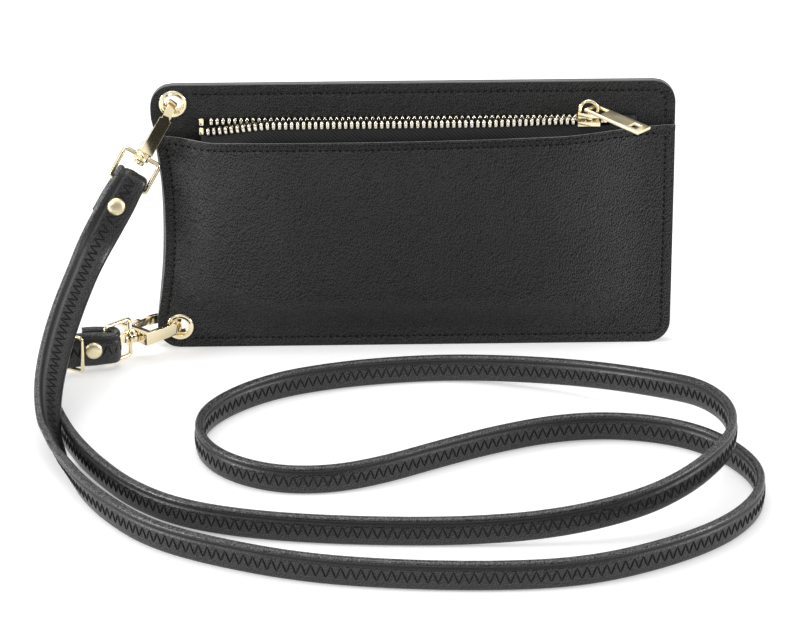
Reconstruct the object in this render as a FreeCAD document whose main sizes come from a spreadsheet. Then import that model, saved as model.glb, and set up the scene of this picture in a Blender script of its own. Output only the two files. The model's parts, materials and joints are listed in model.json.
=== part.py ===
"""Phone pouch with a zip pocket, two swivel hooks and one long strap, in millimetres.

The pouch stands on its long edge: X runs along it, -Y is the pocket side, +Z is up,
and the origin is at the middle of the bottom edge, in the mid-plane of the middle panel.
"""
import FreeCAD
import Part
import os
import re
import Sketcher
from math import atan, cos, pi, radians, sin, tan
from FreeCAD import Placement, Rotation, Vector

SIZES = {
    # Plies and outline
    "pouch_length": 176.0,
    "pouch_height": 94.0,
    "corner_radius": 7.5,
    "leather": 1.2,
    "lining": 0.4,
    "glue_gap": 0.05,
    "notch_depth": 3.9,
    "back_notch_depth": 2.6,
    "notch_foot": 11.0,
    "notch_head_drop": 11.0,
    "cut_overrun": 3.0,
    # Phone side, open at the left end
    "seam_width": 5.0,
    "edge_bulge": 0.25,
    "phone_bulge": 8.0,
    "phone_ramp": 17.0,
    "phone_fade": 54.0,
    "mouth_bulge": 5.5,
    "mouth_length": 13.0,
    "mouth_run": 30.0,
    "mouth_foot": 13.0,
    "mouth_head": 22.0,
    # Pocket side, open along the top
    "pocket_bulge": 7.4,
    "pocket_ramp": 16.0,
    "pocket_rise": 17.0,
    "pocket_fall": 36.0,
    "hem_drop": 17.6,
    "hem_left_lift": 0.6,
    "hem_right_lift": 2.8,
    "hem_draw_in": 0.7,
    "hem_flat": 5.0,
    # Eyelets
    "eyelet_inset": 7.6,
    "upper_eyelet_drop": 6.4,
    "lower_eyelet_height": 7.6,
    "eyelet_bore": 6.0,
    "eyelet_barrel": 6.6,
    "eyelet_flange": 9.4,
    "eyelet_rim": 0.5,
    "eyelet_chamfer": 0.3,
    "fit_gap": 0.05,
    # Zip
    "zip_left": 18.4,
    "zip_mouth": 33.4,
    "zip_pitch": 2.0,
    "tape_thick": 0.5,
    "tape_tuck": 4.4,
    "tape_gap": 0.35,
    "back_tape_height": 8.0,
    "row_rise": 4.6,
    "row_lift": 0.15,
    "row_left_drop": 3.4,
    "row_mouth_drop": 0.6,
    "row_out": 8.4,
    "row_left_out": 4.3,
    "row_mouth_out": 5.0,
    "row_left_run": 24.0,
    "row_mouth_run": 32.0,
    "tooth_thick": 1.1,
    "tooth_deep": 2.0,
    "tooth_high": 2.5,
    "bead_thick": 0.8,
    "stop_long": 1.6,
    "stop_gap": 0.5,
    # Slider, bail and pull
    "slider_gap": 0.3,
    "slider_long": 7.6,
    "slider_near": 1.5,
    "slider_wide": 4.6,
    "slider_plate": 0.9,
    "slider_throat": 2.9,
    "slider_drop": 0.6,
    "slider_lip": 0.9,
    "slider_lip_thick": 0.5,
    "slider_nose": 2.4,
    "slider_post": 1.6,
    "bail_inner": 2.4,
    "bail_wire": 1.2,
    "bail_leg": 0.6,
    "pull_forward": 0.8,
    "pull_lift": 1.2,
    "pull_yaw_angle": 40.0,
    "pull_droop_angle": 9.0,
    "pull_long": 22.0,
    "pull_thick": 1.0,
    "pull_bar": 1.0,
    "pull_slot": 4.9,
    "pull_slot_wide": 4.7,
    "pull_wide": 6.7,
    "pull_end_wide": 7.4,
    "pull_window": 3.0,
    "pull_window_wide": 3.4,
    "pull_margin": 2.3,
    "bottom_stop_long": 2.2,
    "bottom_stop_wide": 2.8,
    "bottom_stop_high": 1.9,
    "end_tab_long": 9.0,
    "end_tab_thick": 1.2,
    "end_tab_high": 3.5,
    "end_tab_gap": 0.3,
    "end_tab_apart": 1.0,
    # Swivel hooks, both alike
    "nose_radius": 5.8,
    "hook_bar": 1.7,
    "hook_wide": 3.0,
    "hook_pull": 0.4,
    "hook_tip": 1.5,
    "spine_wide": 4.2,
    "base_long": 3.1,
    "base_gap": 1.44,
    "base_wide": 4.2,
    "ear_rise": 1.2,
    "ear_thick": 0.85,
    "gate_gap": 0.2,
    "gate_thick": 1.5,
    "pin_diameter": 1.2,
    "pin_inset": 1.9,
    "pin_gap": 0.08,
    "knob_long": 1.9,
    "knob_high": 1.4,
    "knob_start": 2.6,
    "spring_thick": 0.25,
    "spring_reach": 3.0,
    "spring_wide": 1.0,
    "stem_diameter": 2.0,
    "stem_head": 3.4,
    "stem_head_long": 1.3,
    "swivel_gap": 0.15,
    "boss_diameter": 5.2,
    "boss_long": 3.2,
    "loop_wire": 1.5,
    "loop_long": 10.8,
    "loop_wide": 13.2,
    "loop_corner": 2.6,
    "upper_hang_angle": 31.0,
    "loop_gap": 0.12,
    "lower_hang_angle": 90.0,
    "lower_yaw_angle": 45.0,
    # Strap, its ends and its slide
    "strap_wide": 9.2,
    "strap_thick": 2.8,
    "fold_gap": 2.0,
    "fold_reach": 5.0,
    "upper_end_long": 20.0,
    "upper_tail_long": 18.0,
    "upper_rivet": 13.0,
    "lower_end_long": 12.8,
    "lower_tail_long": 12.8,
    "lower_rivet": 9.4,
    "lower_fold_angle": 8.0,
    "rivet_cap": 6.0,
    "rivet_dome": 1.1,
    "rivet_chamfer": 0.8,
    "rivet_post": 2.0,
    "rivet_back": 0.8,
    "slide_wire": 1.4,
    "slide_long": 11.0,
    "slide_high": 13.4,
    "slide_corner": 2.0,
    "slide_lift": 0.3,
    "slide_turn_angle": 38.0,
    "slide_back": 4.4,
}

# A hook is long enough for its base to clear the pouch's edge, and the upper one leans
# forward far enough for its loop to clear the pocket's face
DERIVED = {
    "panel_face": "1.5 * leather + 2 * glue_gap + lining",
    "hem_height": "pouch_height - hem_drop",
    "row_height": "hem_height + row_rise",
    "hook_long": "(eyelet_inset - (nose_radius + hook_pull) * sin(upper_hang_angle)) / sin(upper_hang_angle)"
                 " + base_long + base_gap",
    "loop_start": "hook_long + swivel_gap + boss_long / 2",
    "upper_depth": "(panel_face - leather / 2) / 2",
    "upper_yaw_angle": "asin((panel_face + upper_depth + loop_wire / 2 + loop_gap) / loop_start) / 1 deg",
}

# Where the panels change along the length, as shares of the pouch's length from the left
panel_station_shares = (-0.02, 0.07, 0.10, 0.13, 0.17, 0.25, 0.67, 0.74, 0.80, 0.85, 0.91, 0.97, 1.02)
# The twist of the strap's rise is done at this share of its length
twist_share = 0.66
# A bend takes this share of the shorter of its two runs
bend_share = 0.45
rise_station_count = 24
tape_station_count = 40
wire_side_count = 8

# The strap's centre line, from the upper strap end down to the floor
RISE = [
    (-103.6, -12.5, 49.0), (-107.5, -14.7, 42.6), (-111.6, -26.5, 35.8), (-115.3, -40.0, 29.2),
    (-118.2, -55.5, 22.2), (-119.6, -72.0, 14.8), (-118.2, -86.5, 8.4), (-115.8, -94.0, 6.5),
]
# From the foot of the rise round the floor and back to the lower strap end
RUN = [
    (-115.8, -94.0, 6.5), (-113.4, -101.5, 4.6), (-110.0, -110.0, 4.6), (-104.5, -124.0, 4.6),
    (-96.0, -139.0, 4.6), (-83.5, -155.0, 4.6), (-66.0, -167.0, 4.6), (-37.0, -179.8, 4.6),
    (-5.0, -185.5, 4.6), (27.5, -186.8, 4.6), (50.0, -183.5, 4.6), (72.0, -173.0, 4.6),
    (89.5, -160.0, 4.6), (100.5, -145.0, 4.6), (105.0, -129.5, 4.6), (103.5, -115.5, 4.6),
    (97.0, -101.5, 4.6), (87.0, -90.5, 4.6), (73.5, -84.0, 4.6), (58.0, -81.5, 4.6),
    (42.0, -84.0, 4.6), (24.0, -91.5, 4.6), (6.0, -102.0, 4.6), (-12.0, -113.5, 4.6),
    (-28.0, -119.8, 4.6), (-44.0, -119.5, 4.6), (-57.5, -112.5, 4.6), (-67.0, -101.0, 4.6),
    (-71.0, -86.5, 4.6), (-69.0, -72.0, 4.6), (-60.0, -58.0, 4.6), (-45.5, -46.0, 4.6),
    (-26.0, -38.5, 4.6), (-5.5, -34.5, 4.6), (15.0, -33.2, 4.6), (40.0, -39.5, 6.1),
    (61.0, -50.5, 8.6), (79.0, -66.0, 12.0), (91.0, -82.0, 15.8), (97.8, -97.5, 16.0),
    (97.5, -115.0, 16.0), (91.0, -130.0, 15.4), (80.0, -143.5, 13.5), (64.5, -153.0, 10.6),
    (40.0, -157.0, 6.6), (12.0, -157.2, 4.6), (-20.0, -156.0, 4.6), (-50.0, -151.5, 4.6),
    (-73.5, -142.8, 4.6), (-89.5, -128.5, 4.6), (-101.0, -110.5, 4.6), (-109.5, -93.0, 4.6),
    (-115.0, -77.0, 4.6), (-119.6, -60.0, 4.6), (-122.8, -45.0, 4.8), (-124.2, -33.0, 5.8),
    (-120.2, -22.9, 7.4), (-112.4, -21.6, 7.6),
]

doc = FreeCAD.newDocument("PhonePouch")
sheet = doc.addObject("Spreadsheet::Sheet", "Sizes")
for row, (alias, value) in enumerate((SIZES | DERIVED).items(), start=1):
    cell = f"A{row}"
    sheet.set(cell, f"={value}")
    sheet.setAlias(cell, alias)
doc.recompute()

NODES = []


def size(text):
    """The value of an expression in the sheet's names."""
    return float(sheet.evalExpression(bound(text)))


def bound(text):
    """An expression whose size names point into the sheet."""
    return re.sub(r"[a-z]\w*", lambda m: f"Sizes.{m[0]}" if m[0] in SIZES or m[0] in DERIVED else m[0], text)


def node(thing, label):
    """Keeps a finished sub-part under its own label."""
    thing.Label = label
    NODES.append(thing)
    return thing


def feature(name, shape):
    """A document object round a shape that lofts or pipes have made."""
    thing = doc.addObject("Part::Feature", name)
    thing.Shape = shape
    return thing


def primitive(kind, name, place, **sizes):
    """A box or cylinder whose sizes are expressions."""
    thing = doc.addObject(f"Part::{kind}", name)
    for field, text in sizes.items():
        thing.setExpression(field, bound(text))
    thing.Placement = place
    return thing


def cut(name, base, tool):
    thing = doc.addObject("Part::Cut", name)
    thing.Base = base
    thing.Tool = tool
    return thing


def common(name, base, tool):
    thing = doc.addObject("Part::Common", name)
    thing.Base = base
    thing.Tool = tool
    return thing


def fuse(name, parts):
    thing = doc.addObject("Part::MultiFuse", name)
    thing.Shapes = parts
    return thing


def new_body(name):
    return doc.addObject("PartDesign::Body", name)


def new_sketch(body, plane):
    """A sketch on one of the body's own origin planes."""
    sketch = body.newObject("Sketcher::SketchObject", f"{body.Name}_sketch")
    support = [face for face in body.Origin.OriginFeatures if face.Role == plane][0]
    sketch.AttachmentSupport = (support, [""])
    sketch.MapMode = "FlatFace"
    return sketch


def drive(sketch, constraint, text):
    """Adds a constraint whose value follows an expression."""
    index = sketch.addConstraint(constraint)
    sketch.setExpression(f"Constraints[{index}]", bound(text))


def pin_value(sketch, edge, end, kind, text):
    """Holds one coordinate of a point of a sketch at a value written in named sizes."""
    value = size(text)
    if value == 0:
        axis = -2 if kind == "DistanceX" else -1
        sketch.addConstraint(Sketcher.Constraint("PointOnObject", edge, end, axis))
    elif value > 0:
        drive(sketch, Sketcher.Constraint(kind, -1, 1, edge, end, value), text)
    else:
        drive(sketch, Sketcher.Constraint(kind, edge, end, -1, 1, -value), f"-({text})")


def pin_point(sketch, edge, end, x_text, y_text):
    pin_value(sketch, edge, end, "DistanceX", x_text)
    pin_value(sketch, edge, end, "DistanceY", y_text)


def draw(sketch, path):
    """Draws a closed outline: (x, y) is a line to a point, (x, y, via x, via y, centre) an arc to it.

    The centre is its place across the arc's chord, which runs along one of the axes.
    """
    first = sketch.GeometryCount
    points = [Vector(size(step[0]), size(step[1]), 0) for step in path]
    for index, step in enumerate(path):
        start = points[index - 1]
        end = points[index]
        if len(step) > 2:
            via = Vector(size(step[2]), size(step[3]), 0)
            sketch.addGeometry(Part.Arc(start, via, end))
        else:
            sketch.addGeometry(Part.LineSegment(start, end))
    count = len(path)
    ends = [arc_ends(sketch, first + index, points[index - 1]) for index in range(count)]
    for index, step in enumerate(path):
        here = first + index
        after = (index + 1) % count
        sketch.addConstraint(
            Sketcher.Constraint("Coincident", here, ends[index][1], first + after, ends[after][0]))
        pin_point(sketch, here, ends[index][1], step[0], step[1])
        if len(step) > 2:
            chord = points[index] - points[index - 1]
            upright = abs(chord.y) > abs(chord.x)
            pin_value(sketch, here, 3, "DistanceX" if upright else "DistanceY", step[4])


def arc_ends(sketch, edge, start):
    """The numbers of an edge's first and last point, because an arc may run backwards."""
    if sketch.getPoint(edge, 1).distanceToPoint(start) < sketch.getPoint(edge, 2).distanceToPoint(start):
        return 1, 2
    return 2, 1


def draw_circle(sketch, x_text, y_text, radius_text):
    edge = sketch.addGeometry(
        Part.Circle(Vector(size(x_text), size(y_text), 0), Vector(0, 0, 1), size(radius_text)))
    pin_point(sketch, edge, 3, x_text, y_text)
    drive(sketch, Sketcher.Constraint("Radius", edge, size(radius_text)), radius_text)


def extrude(body, kind, sketch, length):
    """A Pad or a Pocket, the same length on both sides of its sketch."""
    step = body.newObject(f"PartDesign::{kind}", f"{body.Name}_{kind.lower()}")
    step.Profile = sketch
    step.SideType = "Symmetric"
    step.setExpression("Length", bound(length))
    sketch.Visibility = False
    doc.recompute()
    return step


def padded(body, plane, path, length):
    sketch = new_sketch(body, plane)
    draw(sketch, path)
    return extrude(body, "Pad", sketch, length)


def bored(body, plane, circles, length):
    """Round holes through a body, which must take some of its volume away."""
    before = body.Shape.Volume
    sketch = new_sketch(body, plane)
    for circle in circles:
        draw_circle(sketch, *circle)
    extrude(body, "Pocket", sketch, length)
    if body.Shape.Volume >= before:
        raise ValueError(f"{body.Name}: the bore misses the solid")


def slotted(body, plane, path, length):
    """A shaped pocket through a body, which must take some of its volume away."""
    before = body.Shape.Volume
    sketch = new_sketch(body, plane)
    draw(sketch, path)
    extrude(body, "Pocket", sketch, length)
    if body.Shape.Volume >= before:
        raise ValueError(f"{body.Name}: the slot misses the solid")


def rounded(body, radius, wanted):
    """Rounds the edges that the test picks."""
    base = body.Tip
    names = [f"Edge{n}" for n, edge in enumerate(base.Shape.Edges, start=1) if wanted(edge)]
    fillet = body.newObject("PartDesign::Fillet", f"{body.Name}_fillet")
    fillet.Base = (base, names)
    fillet.setExpression("Radius", bound(radius))
    doc.recompute()


def bevelled(body, size_text, wanted):
    """Chamfers the edges that the test picks."""
    base = body.Tip
    names = [f"Edge{n}" for n, edge in enumerate(base.Shape.Edges, start=1) if wanted(edge)]
    chamfer = body.newObject("PartDesign::Chamfer", f"{body.Name}_chamfer")
    chamfer.Base = (base, names)
    chamfer.setExpression("Size", bound(size_text))
    doc.recompute()


def turned(name, path):
    """A body of revolution: the path's first value is the radius, the second the height."""
    body = new_body(name)
    sketch = new_sketch(body, "XZ_Plane")
    draw(sketch, path)
    spin = body.newObject("PartDesign::Revolution", f"{name}_turn")
    spin.Profile = sketch
    spin.ReferenceAxis = (sketch, ["V_Axis"])
    sketch.Visibility = False
    doc.recompute()
    return body


def on_circle(radius_text, height_text):
    """Picks the circular edge of a turned body at one radius and height."""
    radius = size(radius_text)
    height = size(height_text)
    slack = size("fit_gap")

    def wanted(edge):
        round_edge = isinstance(edge.Curve, Part.Circle)
        return (round_edge and abs(edge.Curve.Radius - radius) < slack
                and abs(edge.Curve.Center.z - height) < slack)
    return wanted


def along(origin, axis):
    """A placement whose Z runs along an axis."""
    return Placement(origin, Rotation(Vector(0, 0, 1), axis))


def framed(origin, x_axis, y_axis):
    return Placement(origin, Rotation(x_axis, y_axis, x_axis.cross(y_axis), "XYZ"))


def ease(share):
    """A smooth step from 0 to 1."""
    held = min(max(share, 0), 1)
    return held * held * (3 - 2 * held)


def box_path(x_low, x_high, y_low, y_high):
    return [(x_high, y_low), (x_high, y_high), (x_low, y_high), (x_low, y_low)]


half_length = size("pouch_length / 2")
height = size("pouch_height")
seam = size("panel_face - leather")
overrun = size("cut_overrun")


# Outline of the pouch, with its rounded corners and its thumb notch

def outline_prism(notch):
    """The pouch's outline as a prism through all the plies."""
    radius = size("corner_radius")
    slack = radius * (1 - cos(radians(45)))
    foot = size("notch_foot")
    head = size("pouch_height - notch_head_drop")
    reach = size("phone_bulge + pocket_bulge + cut_overrun")

    def at(x, z):
        return Vector(x, -reach, z)

    def line(start, end):
        return Part.LineSegment(at(*start), at(*end)).toShape()

    def arc(start, via, end):
        return Part.Arc(at(*start), at(*via), at(*end)).toShape()

    inner = half_length - radius
    edges = [
        line((-inner, 0), (inner, 0)),
        arc((inner, 0), (half_length - slack, slack), (half_length, radius)),
        line((half_length, radius), (half_length, height - radius)),
        arc((half_length, height - radius), (half_length - slack, height - slack), (inner, height)),
        line((inner, height), (-inner, height)),
        arc((-inner, height), (slack - half_length, height - slack), (-half_length, height - radius)),
        line((-half_length, height - radius), (-half_length, head)),
        arc((-half_length, head), (notch - half_length, (head + foot) / 2), (-half_length, foot)),
        line((-half_length, foot), (-half_length, radius)),
        arc((-half_length, radius), (slack - half_length, slack), (-inner, 0)),
    ]
    return Part.Face(Part.Wire(edges)).extrude(Vector(0, 2 * reach, 0))


def hem_line(x):
    """Height of the pocket's hem, which climbs towards both ends."""
    share = x / half_length
    climb = size("(hem_right_lift - hem_left_lift) / 2")
    bow = size("(hem_right_lift + hem_left_lift) / 2")
    return size("hem_height") + climb * share + bow * share * share


def hem_prism():
    """What lies below the pocket's hem."""
    reach = size("phone_bulge + pocket_bulge + cut_overrun")
    ends = half_length + overrun

    def at(x, z):
        return Vector(x, -reach, z)

    left = at(-ends, hem_line(-ends))
    middle = at(0, hem_line(0))
    right = at(ends, hem_line(ends))
    edges = [
        Part.LineSegment(at(-ends, -overrun), at(ends, -overrun)).toShape(),
        Part.LineSegment(at(ends, -overrun), right).toShape(),
        Part.Arc(right, middle, left).toShape(),
        Part.LineSegment(left, at(-ends, -overrun)).toShape(),
    ]
    return Part.Face(Part.Wire(edges)).extrude(Vector(0, 2 * reach, 0))


# Panels and linings that swell away from the middle panel

def swerve(z_from, z_to, out_from, out_to, offset):
    """Two arcs that carry a ply from one level to another, offset along the ply's normal."""
    run = z_to - z_from
    turn = 2 * atan((out_to - out_from) / run)
    radius = run / (2 * sin(turn))
    side = radius * sin(turn / 2)
    rise = radius * (1 - cos(turn / 2))

    def at(z, out, slope):
        return z - offset * sin(slope), out + offset * cos(slope)

    return [
        at(z_from + side, out_from + rise, turn / 2),
        at((z_from + z_to) / 2, (out_from + out_to) / 2, turn),
        at(z_to - side, out_to - rise, turn / 2),
        at(z_to, out_to, 0),
    ]


def ply_points(form, offset):
    """One face of a ply at a station, from below the pouch to above it."""
    ramp = form["ramp"]
    top = height + overrun
    points = [(-overrun, offset), (form["foot"], offset)]
    points += swerve(form["foot"], form["foot"] + ramp, 0, form["bulge"], offset)
    points.append((form["head"] - ramp, form["bulge"] + offset))
    points += swerve(form["head"] - ramp, form["head"], form["bulge"], form["lip"], offset)
    points.append((top, form["lip"] + offset))
    return points


def ply_edges(places):
    """Line, two arcs, line, two arcs and line through a face's points."""
    edges = []
    for kind, index in (("line", 0), ("arc", 1), ("arc", 3), ("line", 5),
                        ("arc", 6), ("arc", 8), ("line", 10)):
        if kind == "line":
            edges.append(Part.LineSegment(places[index], places[index + 1]).toShape())
        else:
            edges.append(Part.Arc(*places[index:index + 3]).toShape())
    return edges


def ply_wire(x, side, form, near, far):
    """A ply's section, between two offsets from the panel's inner face."""
    faces = []
    for offset in (near, far):
        faces.append([Vector(x, side * (seam + out), z) for z, out in ply_points(form, offset)])
    edges = ply_edges(faces[0])
    edges.append(Part.LineSegment(faces[0][-1], faces[1][-1]).toShape())
    edges += ply_edges(faces[1][::-1])
    edges.append(Part.LineSegment(faces[1][0], faces[0][0]).toShape())
    return Part.Wire(edges)


def mouth_share(x):
    """How far the plies have opened out from the flat strips beside the eyelets."""
    return ease((x + half_length - size("mouth_length")) / size("mouth_run"))


def foot_of(x):
    return size("mouth_foot") + (size("seam_width - mouth_foot")) * mouth_share(x)


def phone_form(x):
    """The back panel's levels at a station."""
    fade = ease((size("pouch_length / 2 - seam_width") - x) / size("phone_fade"))
    full = size("mouth_bulge") + size("phone_bulge - mouth_bulge") * mouth_share(x)
    margin = size("mouth_head") + size("seam_width - mouth_head") * mouth_share(x)
    return {
        "foot": foot_of(x),
        "head": height - margin,
        "ramp": size("phone_ramp"),
        "bulge": size("edge_bulge") + (full - size("edge_bulge")) * fade,
        "lip": 0,
    }


def pocket_swell(x):
    left = ease((x + size("pouch_length / 2 - seam_width")) / size("pocket_rise"))
    right = ease((size("pouch_length / 2 - seam_width") - x) / size("pocket_fall"))
    return left * right


def pocket_lip(x):
    return size("edge_bulge / 2") + size("pocket_bulge - hem_draw_in") * pocket_swell(x)


def pocket_form(x):
    """The front panel's levels at a station."""
    return {
        "foot": foot_of(x),
        "head": size("hem_height - hem_flat"),
        "ramp": size("pocket_ramp"),
        "bulge": size("edge_bulge") + size("pocket_bulge") * pocket_swell(x),
        "lip": pocket_lip(x),
    }


def swollen(name, side, form_of, near, far):
    """A ply lofted along the pouch."""
    wires = []
    for share in panel_station_shares:
        x = -half_length + share * size("pouch_length")
        wires.append(ply_wire(x, side, form_of(x), near, far))
    return feature(name, Part.makeLoft(wires, True, True))


def eyelet_places():
    x = size("eyelet_inset - pouch_length / 2")
    return x, size("pouch_height - upper_eyelet_drop"), size("lower_eyelet_height")


def eyelet_drills(name, upper):
    """Drills for the eyelets' barrels through the plies."""
    x, upper_z, lower_z = eyelet_places()
    reach = size("phone_bulge + pocket_bulge")
    drills = []
    for z in (upper_z, lower_z) if upper else (lower_z,):
        place = Placement(Vector(x, -reach, z), Rotation(Vector(0, 0, 1), Vector(0, 1, 0)))
        drills.append(primitive("Cylinder", f"{name}_drill", place, Radius="eyelet_barrel / 2 + fit_gap",
                                Height="2 * (phone_bulge + pocket_bulge)"))
    return fuse(f"{name}_drills", drills) if upper else drills[0]


def make_panels():
    """The two swollen panels, cut to the outline."""
    leather = size("leather")
    panels = (
        ("back_panel", 1, phone_form, "back_notch_depth", True),
        ("front_panel", -1, pocket_form, "notch_depth", False),
    )
    for label, side, form_of, notch, upper in panels:
        sheet_form = swollen(f"{label}_form", side, form_of, 0, leather)
        trim = outline_prism(size(notch))
        if not upper:
            trim = trim.common(hem_prism())
        blank = common(f"{label}_blank", sheet_form, feature(f"{label}_trim", trim))
        node(cut(f"{label}_cut", blank, eyelet_drills(label, upper)), label)


def flat_ply(name, label, thick_text, level):
    """A flat ply with the pouch's outline, its notch and the holes for the eyelets."""
    body = node(new_body(name), label)
    side = "pouch_length / 2"
    mid = "(pouch_height - notch_head_drop + notch_foot) / 2"
    chord = "((pouch_height - notch_head_drop - notch_foot) / 2)"
    arc_radius = f"({chord} * {chord} + notch_depth * notch_depth) / (2 * notch_depth)"
    path = [
        (side, "0"), (side, "pouch_height"), (f"-{side}", "pouch_height"),
        (f"-{side}", "pouch_height - notch_head_drop"),
        (f"-{side}", "notch_foot", f"notch_depth - {side}", mid, f"notch_depth - {side} - {arc_radius}"),
        (f"-{side}", "0"),
    ]
    padded(body, "XZ_Plane", path, thick_text)
    corners = [(x, z) for x in (-half_length, half_length) for z in (0, height)]
    slack = size("fit_gap")

    def at_corner(edge):
        centre = edge.CenterOfMass
        return any(abs(centre.x - x) < slack and abs(centre.z - z) < slack for x, z in corners)

    rounded(body, "corner_radius", at_corner)
    x_text = "eyelet_inset - pouch_length / 2"
    holes = [(x_text, z_text, "eyelet_barrel / 2 + fit_gap")
             for z_text in ("pouch_height - upper_eyelet_drop", "lower_eyelet_height")]
    bored(body, "XZ_Plane", holes, f"2 * {thick_text}")
    body.Placement = Placement(Vector(0, level, 0), Rotation())
    return body


def make_flat_plies():
    """The middle panel and a lining on each of its faces, the pocket's up to the zip's tape."""
    flat_ply("MiddlePanel", "middle_panel", "leather", 0)
    level = size("(leather + lining) / 2 + glue_gap")
    flat_ply("PhoneLining", "phone_lining", "lining", level)
    lining = flat_ply("PocketLining", "pocket_lining", "lining", -level)
    side = "(pouch_length / 2 + cut_overrun)"
    top = "row_height - row_mouth_drop - back_tape_height - tape_gap"
    slotted(lining, "XZ_Plane", box_path(f"-{side}", side, top, "pouch_height + cut_overrun"), "2 * lining")


def make_eyelets():
    """Each eyelet's flange and barrel, and the washer it is set over at the back."""
    x, upper_z, lower_z = eyelet_places()
    upper_front = "(leather / 2)"
    for name, z, front in (("upper", upper_z, upper_front), ("lower", lower_z, "panel_face")):
        title = name.capitalize()
        depth = f"eyelet_rim + {front} + panel_face"
        path = [
            ("eyelet_flange / 2", "0"), ("eyelet_flange / 2", "eyelet_rim"),
            ("eyelet_barrel / 2", "eyelet_rim"), ("eyelet_barrel / 2", f"{depth} + eyelet_rim"),
            ("eyelet_bore / 2", f"{depth} + eyelet_rim"), ("eyelet_bore / 2", "0"),
        ]
        eyelet = turned(f"{title}Eyelet", path)
        bevelled(eyelet, "eyelet_chamfer", on_circle("eyelet_flange / 2", "0"))
        eyelet.Placement = along(Vector(x, -size(f"{front} + eyelet_rim"), z), Vector(0, 1, 0))
        node(eyelet, f"{name}_eyelet")
        washer = turned(f"{title}Washer", [
            ("eyelet_flange / 2", "0"), ("eyelet_flange / 2", "eyelet_rim"),
            ("eyelet_barrel / 2 + fit_gap", "eyelet_rim"), ("eyelet_barrel / 2 + fit_gap", "0"),
        ])
        bevelled(washer, "eyelet_chamfer", on_circle("eyelet_flange / 2", "eyelet_rim"))
        washer.Placement = along(Vector(x, size("panel_face"), z), Vector(0, 1, 0))
        node(washer, f"{name}_eyelet_washer")


# Zip along the pocket's mouth

def zip_ends():
    return size("zip_left - pouch_length / 2"), size("pouch_length / 2 - zip_mouth")


def row_place(x):
    """How far out and how high the open front row stands at x."""
    start, end = zip_ends()
    left = 1 - ease((x - start) / size("row_left_run"))
    right = 1 - ease((end - x) / size("row_mouth_run"))
    out = size("row_out") + size("row_left_out - row_out") * left + size("row_mouth_out - row_out") * right
    rise = size("row_height") - size("row_left_drop") * left - size("row_mouth_drop") * right
    return out, rise


def make_front_tape():
    """The tape that stands up behind the hem and carries the front row."""
    start, end = zip_ends()
    thick = size("tape_thick")
    wires = []
    for index in range(tape_station_count + 1):
        x = start + (end - start) * index / tape_station_count
        out, rise = row_place(x)
        hem = hem_line(x)
        seat = seam + pocket_lip(x) - size("tape_gap")
        corners = [
            (seat, hem - size("tape_tuck")), (seat, hem), (out, rise),
            (out - thick, rise), (seat - thick, hem), (seat - thick, hem - size("tape_tuck")),
        ]
        wires.append(Part.makePolygon([Vector(x, -y, z) for y, z in corners + corners[:1]]))
    node(feature("FrontTape", Part.makeLoft(wires, True, True)), "zip_tape_front")


def tooth_count():
    start, end = zip_ends()
    return int((end - start) / size("zip_pitch"))


def make_front_teeth():
    """The open row: a bead along the tape's edge with a tooth at every pitch."""
    start, end = zip_ends()
    bead = size("bead_thick")
    high = size("tooth_high")
    deep = size("tooth_deep")
    thick = size("tooth_thick")
    tape = size("tape_thick")
    lift = size("row_lift")
    wires = []
    for index in range(tape_station_count + 1):
        x = start + (end - start) * index / tape_station_count
        out, rise = row_place(x)
        low = rise + lift + (high - bead) / 2
        corners = [(out, low), (out, low + bead), (out - bead, low + bead), (out - bead, low)]
        wires.append(Part.makePolygon([Vector(x, -y, z) for y, z in corners + corners[:1]]))
    teeth = []
    for index in range(tooth_count()):
        x = start + size("zip_pitch") * (index + 0.5)
        out, rise = row_place(x)
        corner = Vector(x - thick / 2, -(out - tape / 2 + deep / 2), rise + lift)
        teeth.append(Part.makeBox(thick, deep, high, corner))
    shape = Part.makeLoft(wires, True, True).multiFuse(teeth)
    node(feature("FrontTeeth", shape), "zip_teeth_front")


tab_left_text = "(pouch_length / 2 - zip_mouth + 2 * slider_gap + slider_long + bottom_stop_long + end_tab_apart)"


def make_back_zip():
    """The flat tape on the middle panel and its straight row."""
    start, end = zip_ends()
    near = size("leather / 2 + glue_gap")
    rise = size("row_height - row_mouth_drop")
    place = Placement(Vector(start, -near - size("tape_thick"), rise - size("back_tape_height")), Rotation())
    tape = primitive("Box", "BackTape", place, Width="tape_thick", Height="back_tape_height",
                     Length=f"{tab_left_text} + end_tab_long + pouch_length / 2 - zip_left")
    node(tape, "zip_tape_back")
    body = node(new_body("BackTeeth"), "zip_teeth_back")
    bead_low = "(tooth_high - bead_thick) / 2"
    padded(body, "XZ_Plane", box_path("0", "pouch_length - zip_left - zip_mouth", bead_low,
                                      f"{bead_low} + bead_thick"), "bead_thick")
    tooth = padded(body, "XZ_Plane", box_path("zip_pitch / 2 - tooth_thick / 2",
                                              "zip_pitch / 2 + tooth_thick / 2", "0", "tooth_high"),
                   "tooth_deep")
    row = body.newObject("PartDesign::LinearPattern", "BackTeeth_row")
    row.Originals = [tooth]
    axis = [line for line in body.Origin.OriginFeatures if line.Role == "X_Axis"][0]
    row.Direction = (axis, [""])
    row.Length = size("zip_pitch") * (tooth_count() - 1)
    row.Occurrences = tooth_count()
    body.Tip = row
    doc.recompute()
    body.Placement = Placement(Vector(start, -near - size("tooth_deep / 2"), rise), Rotation())


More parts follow.
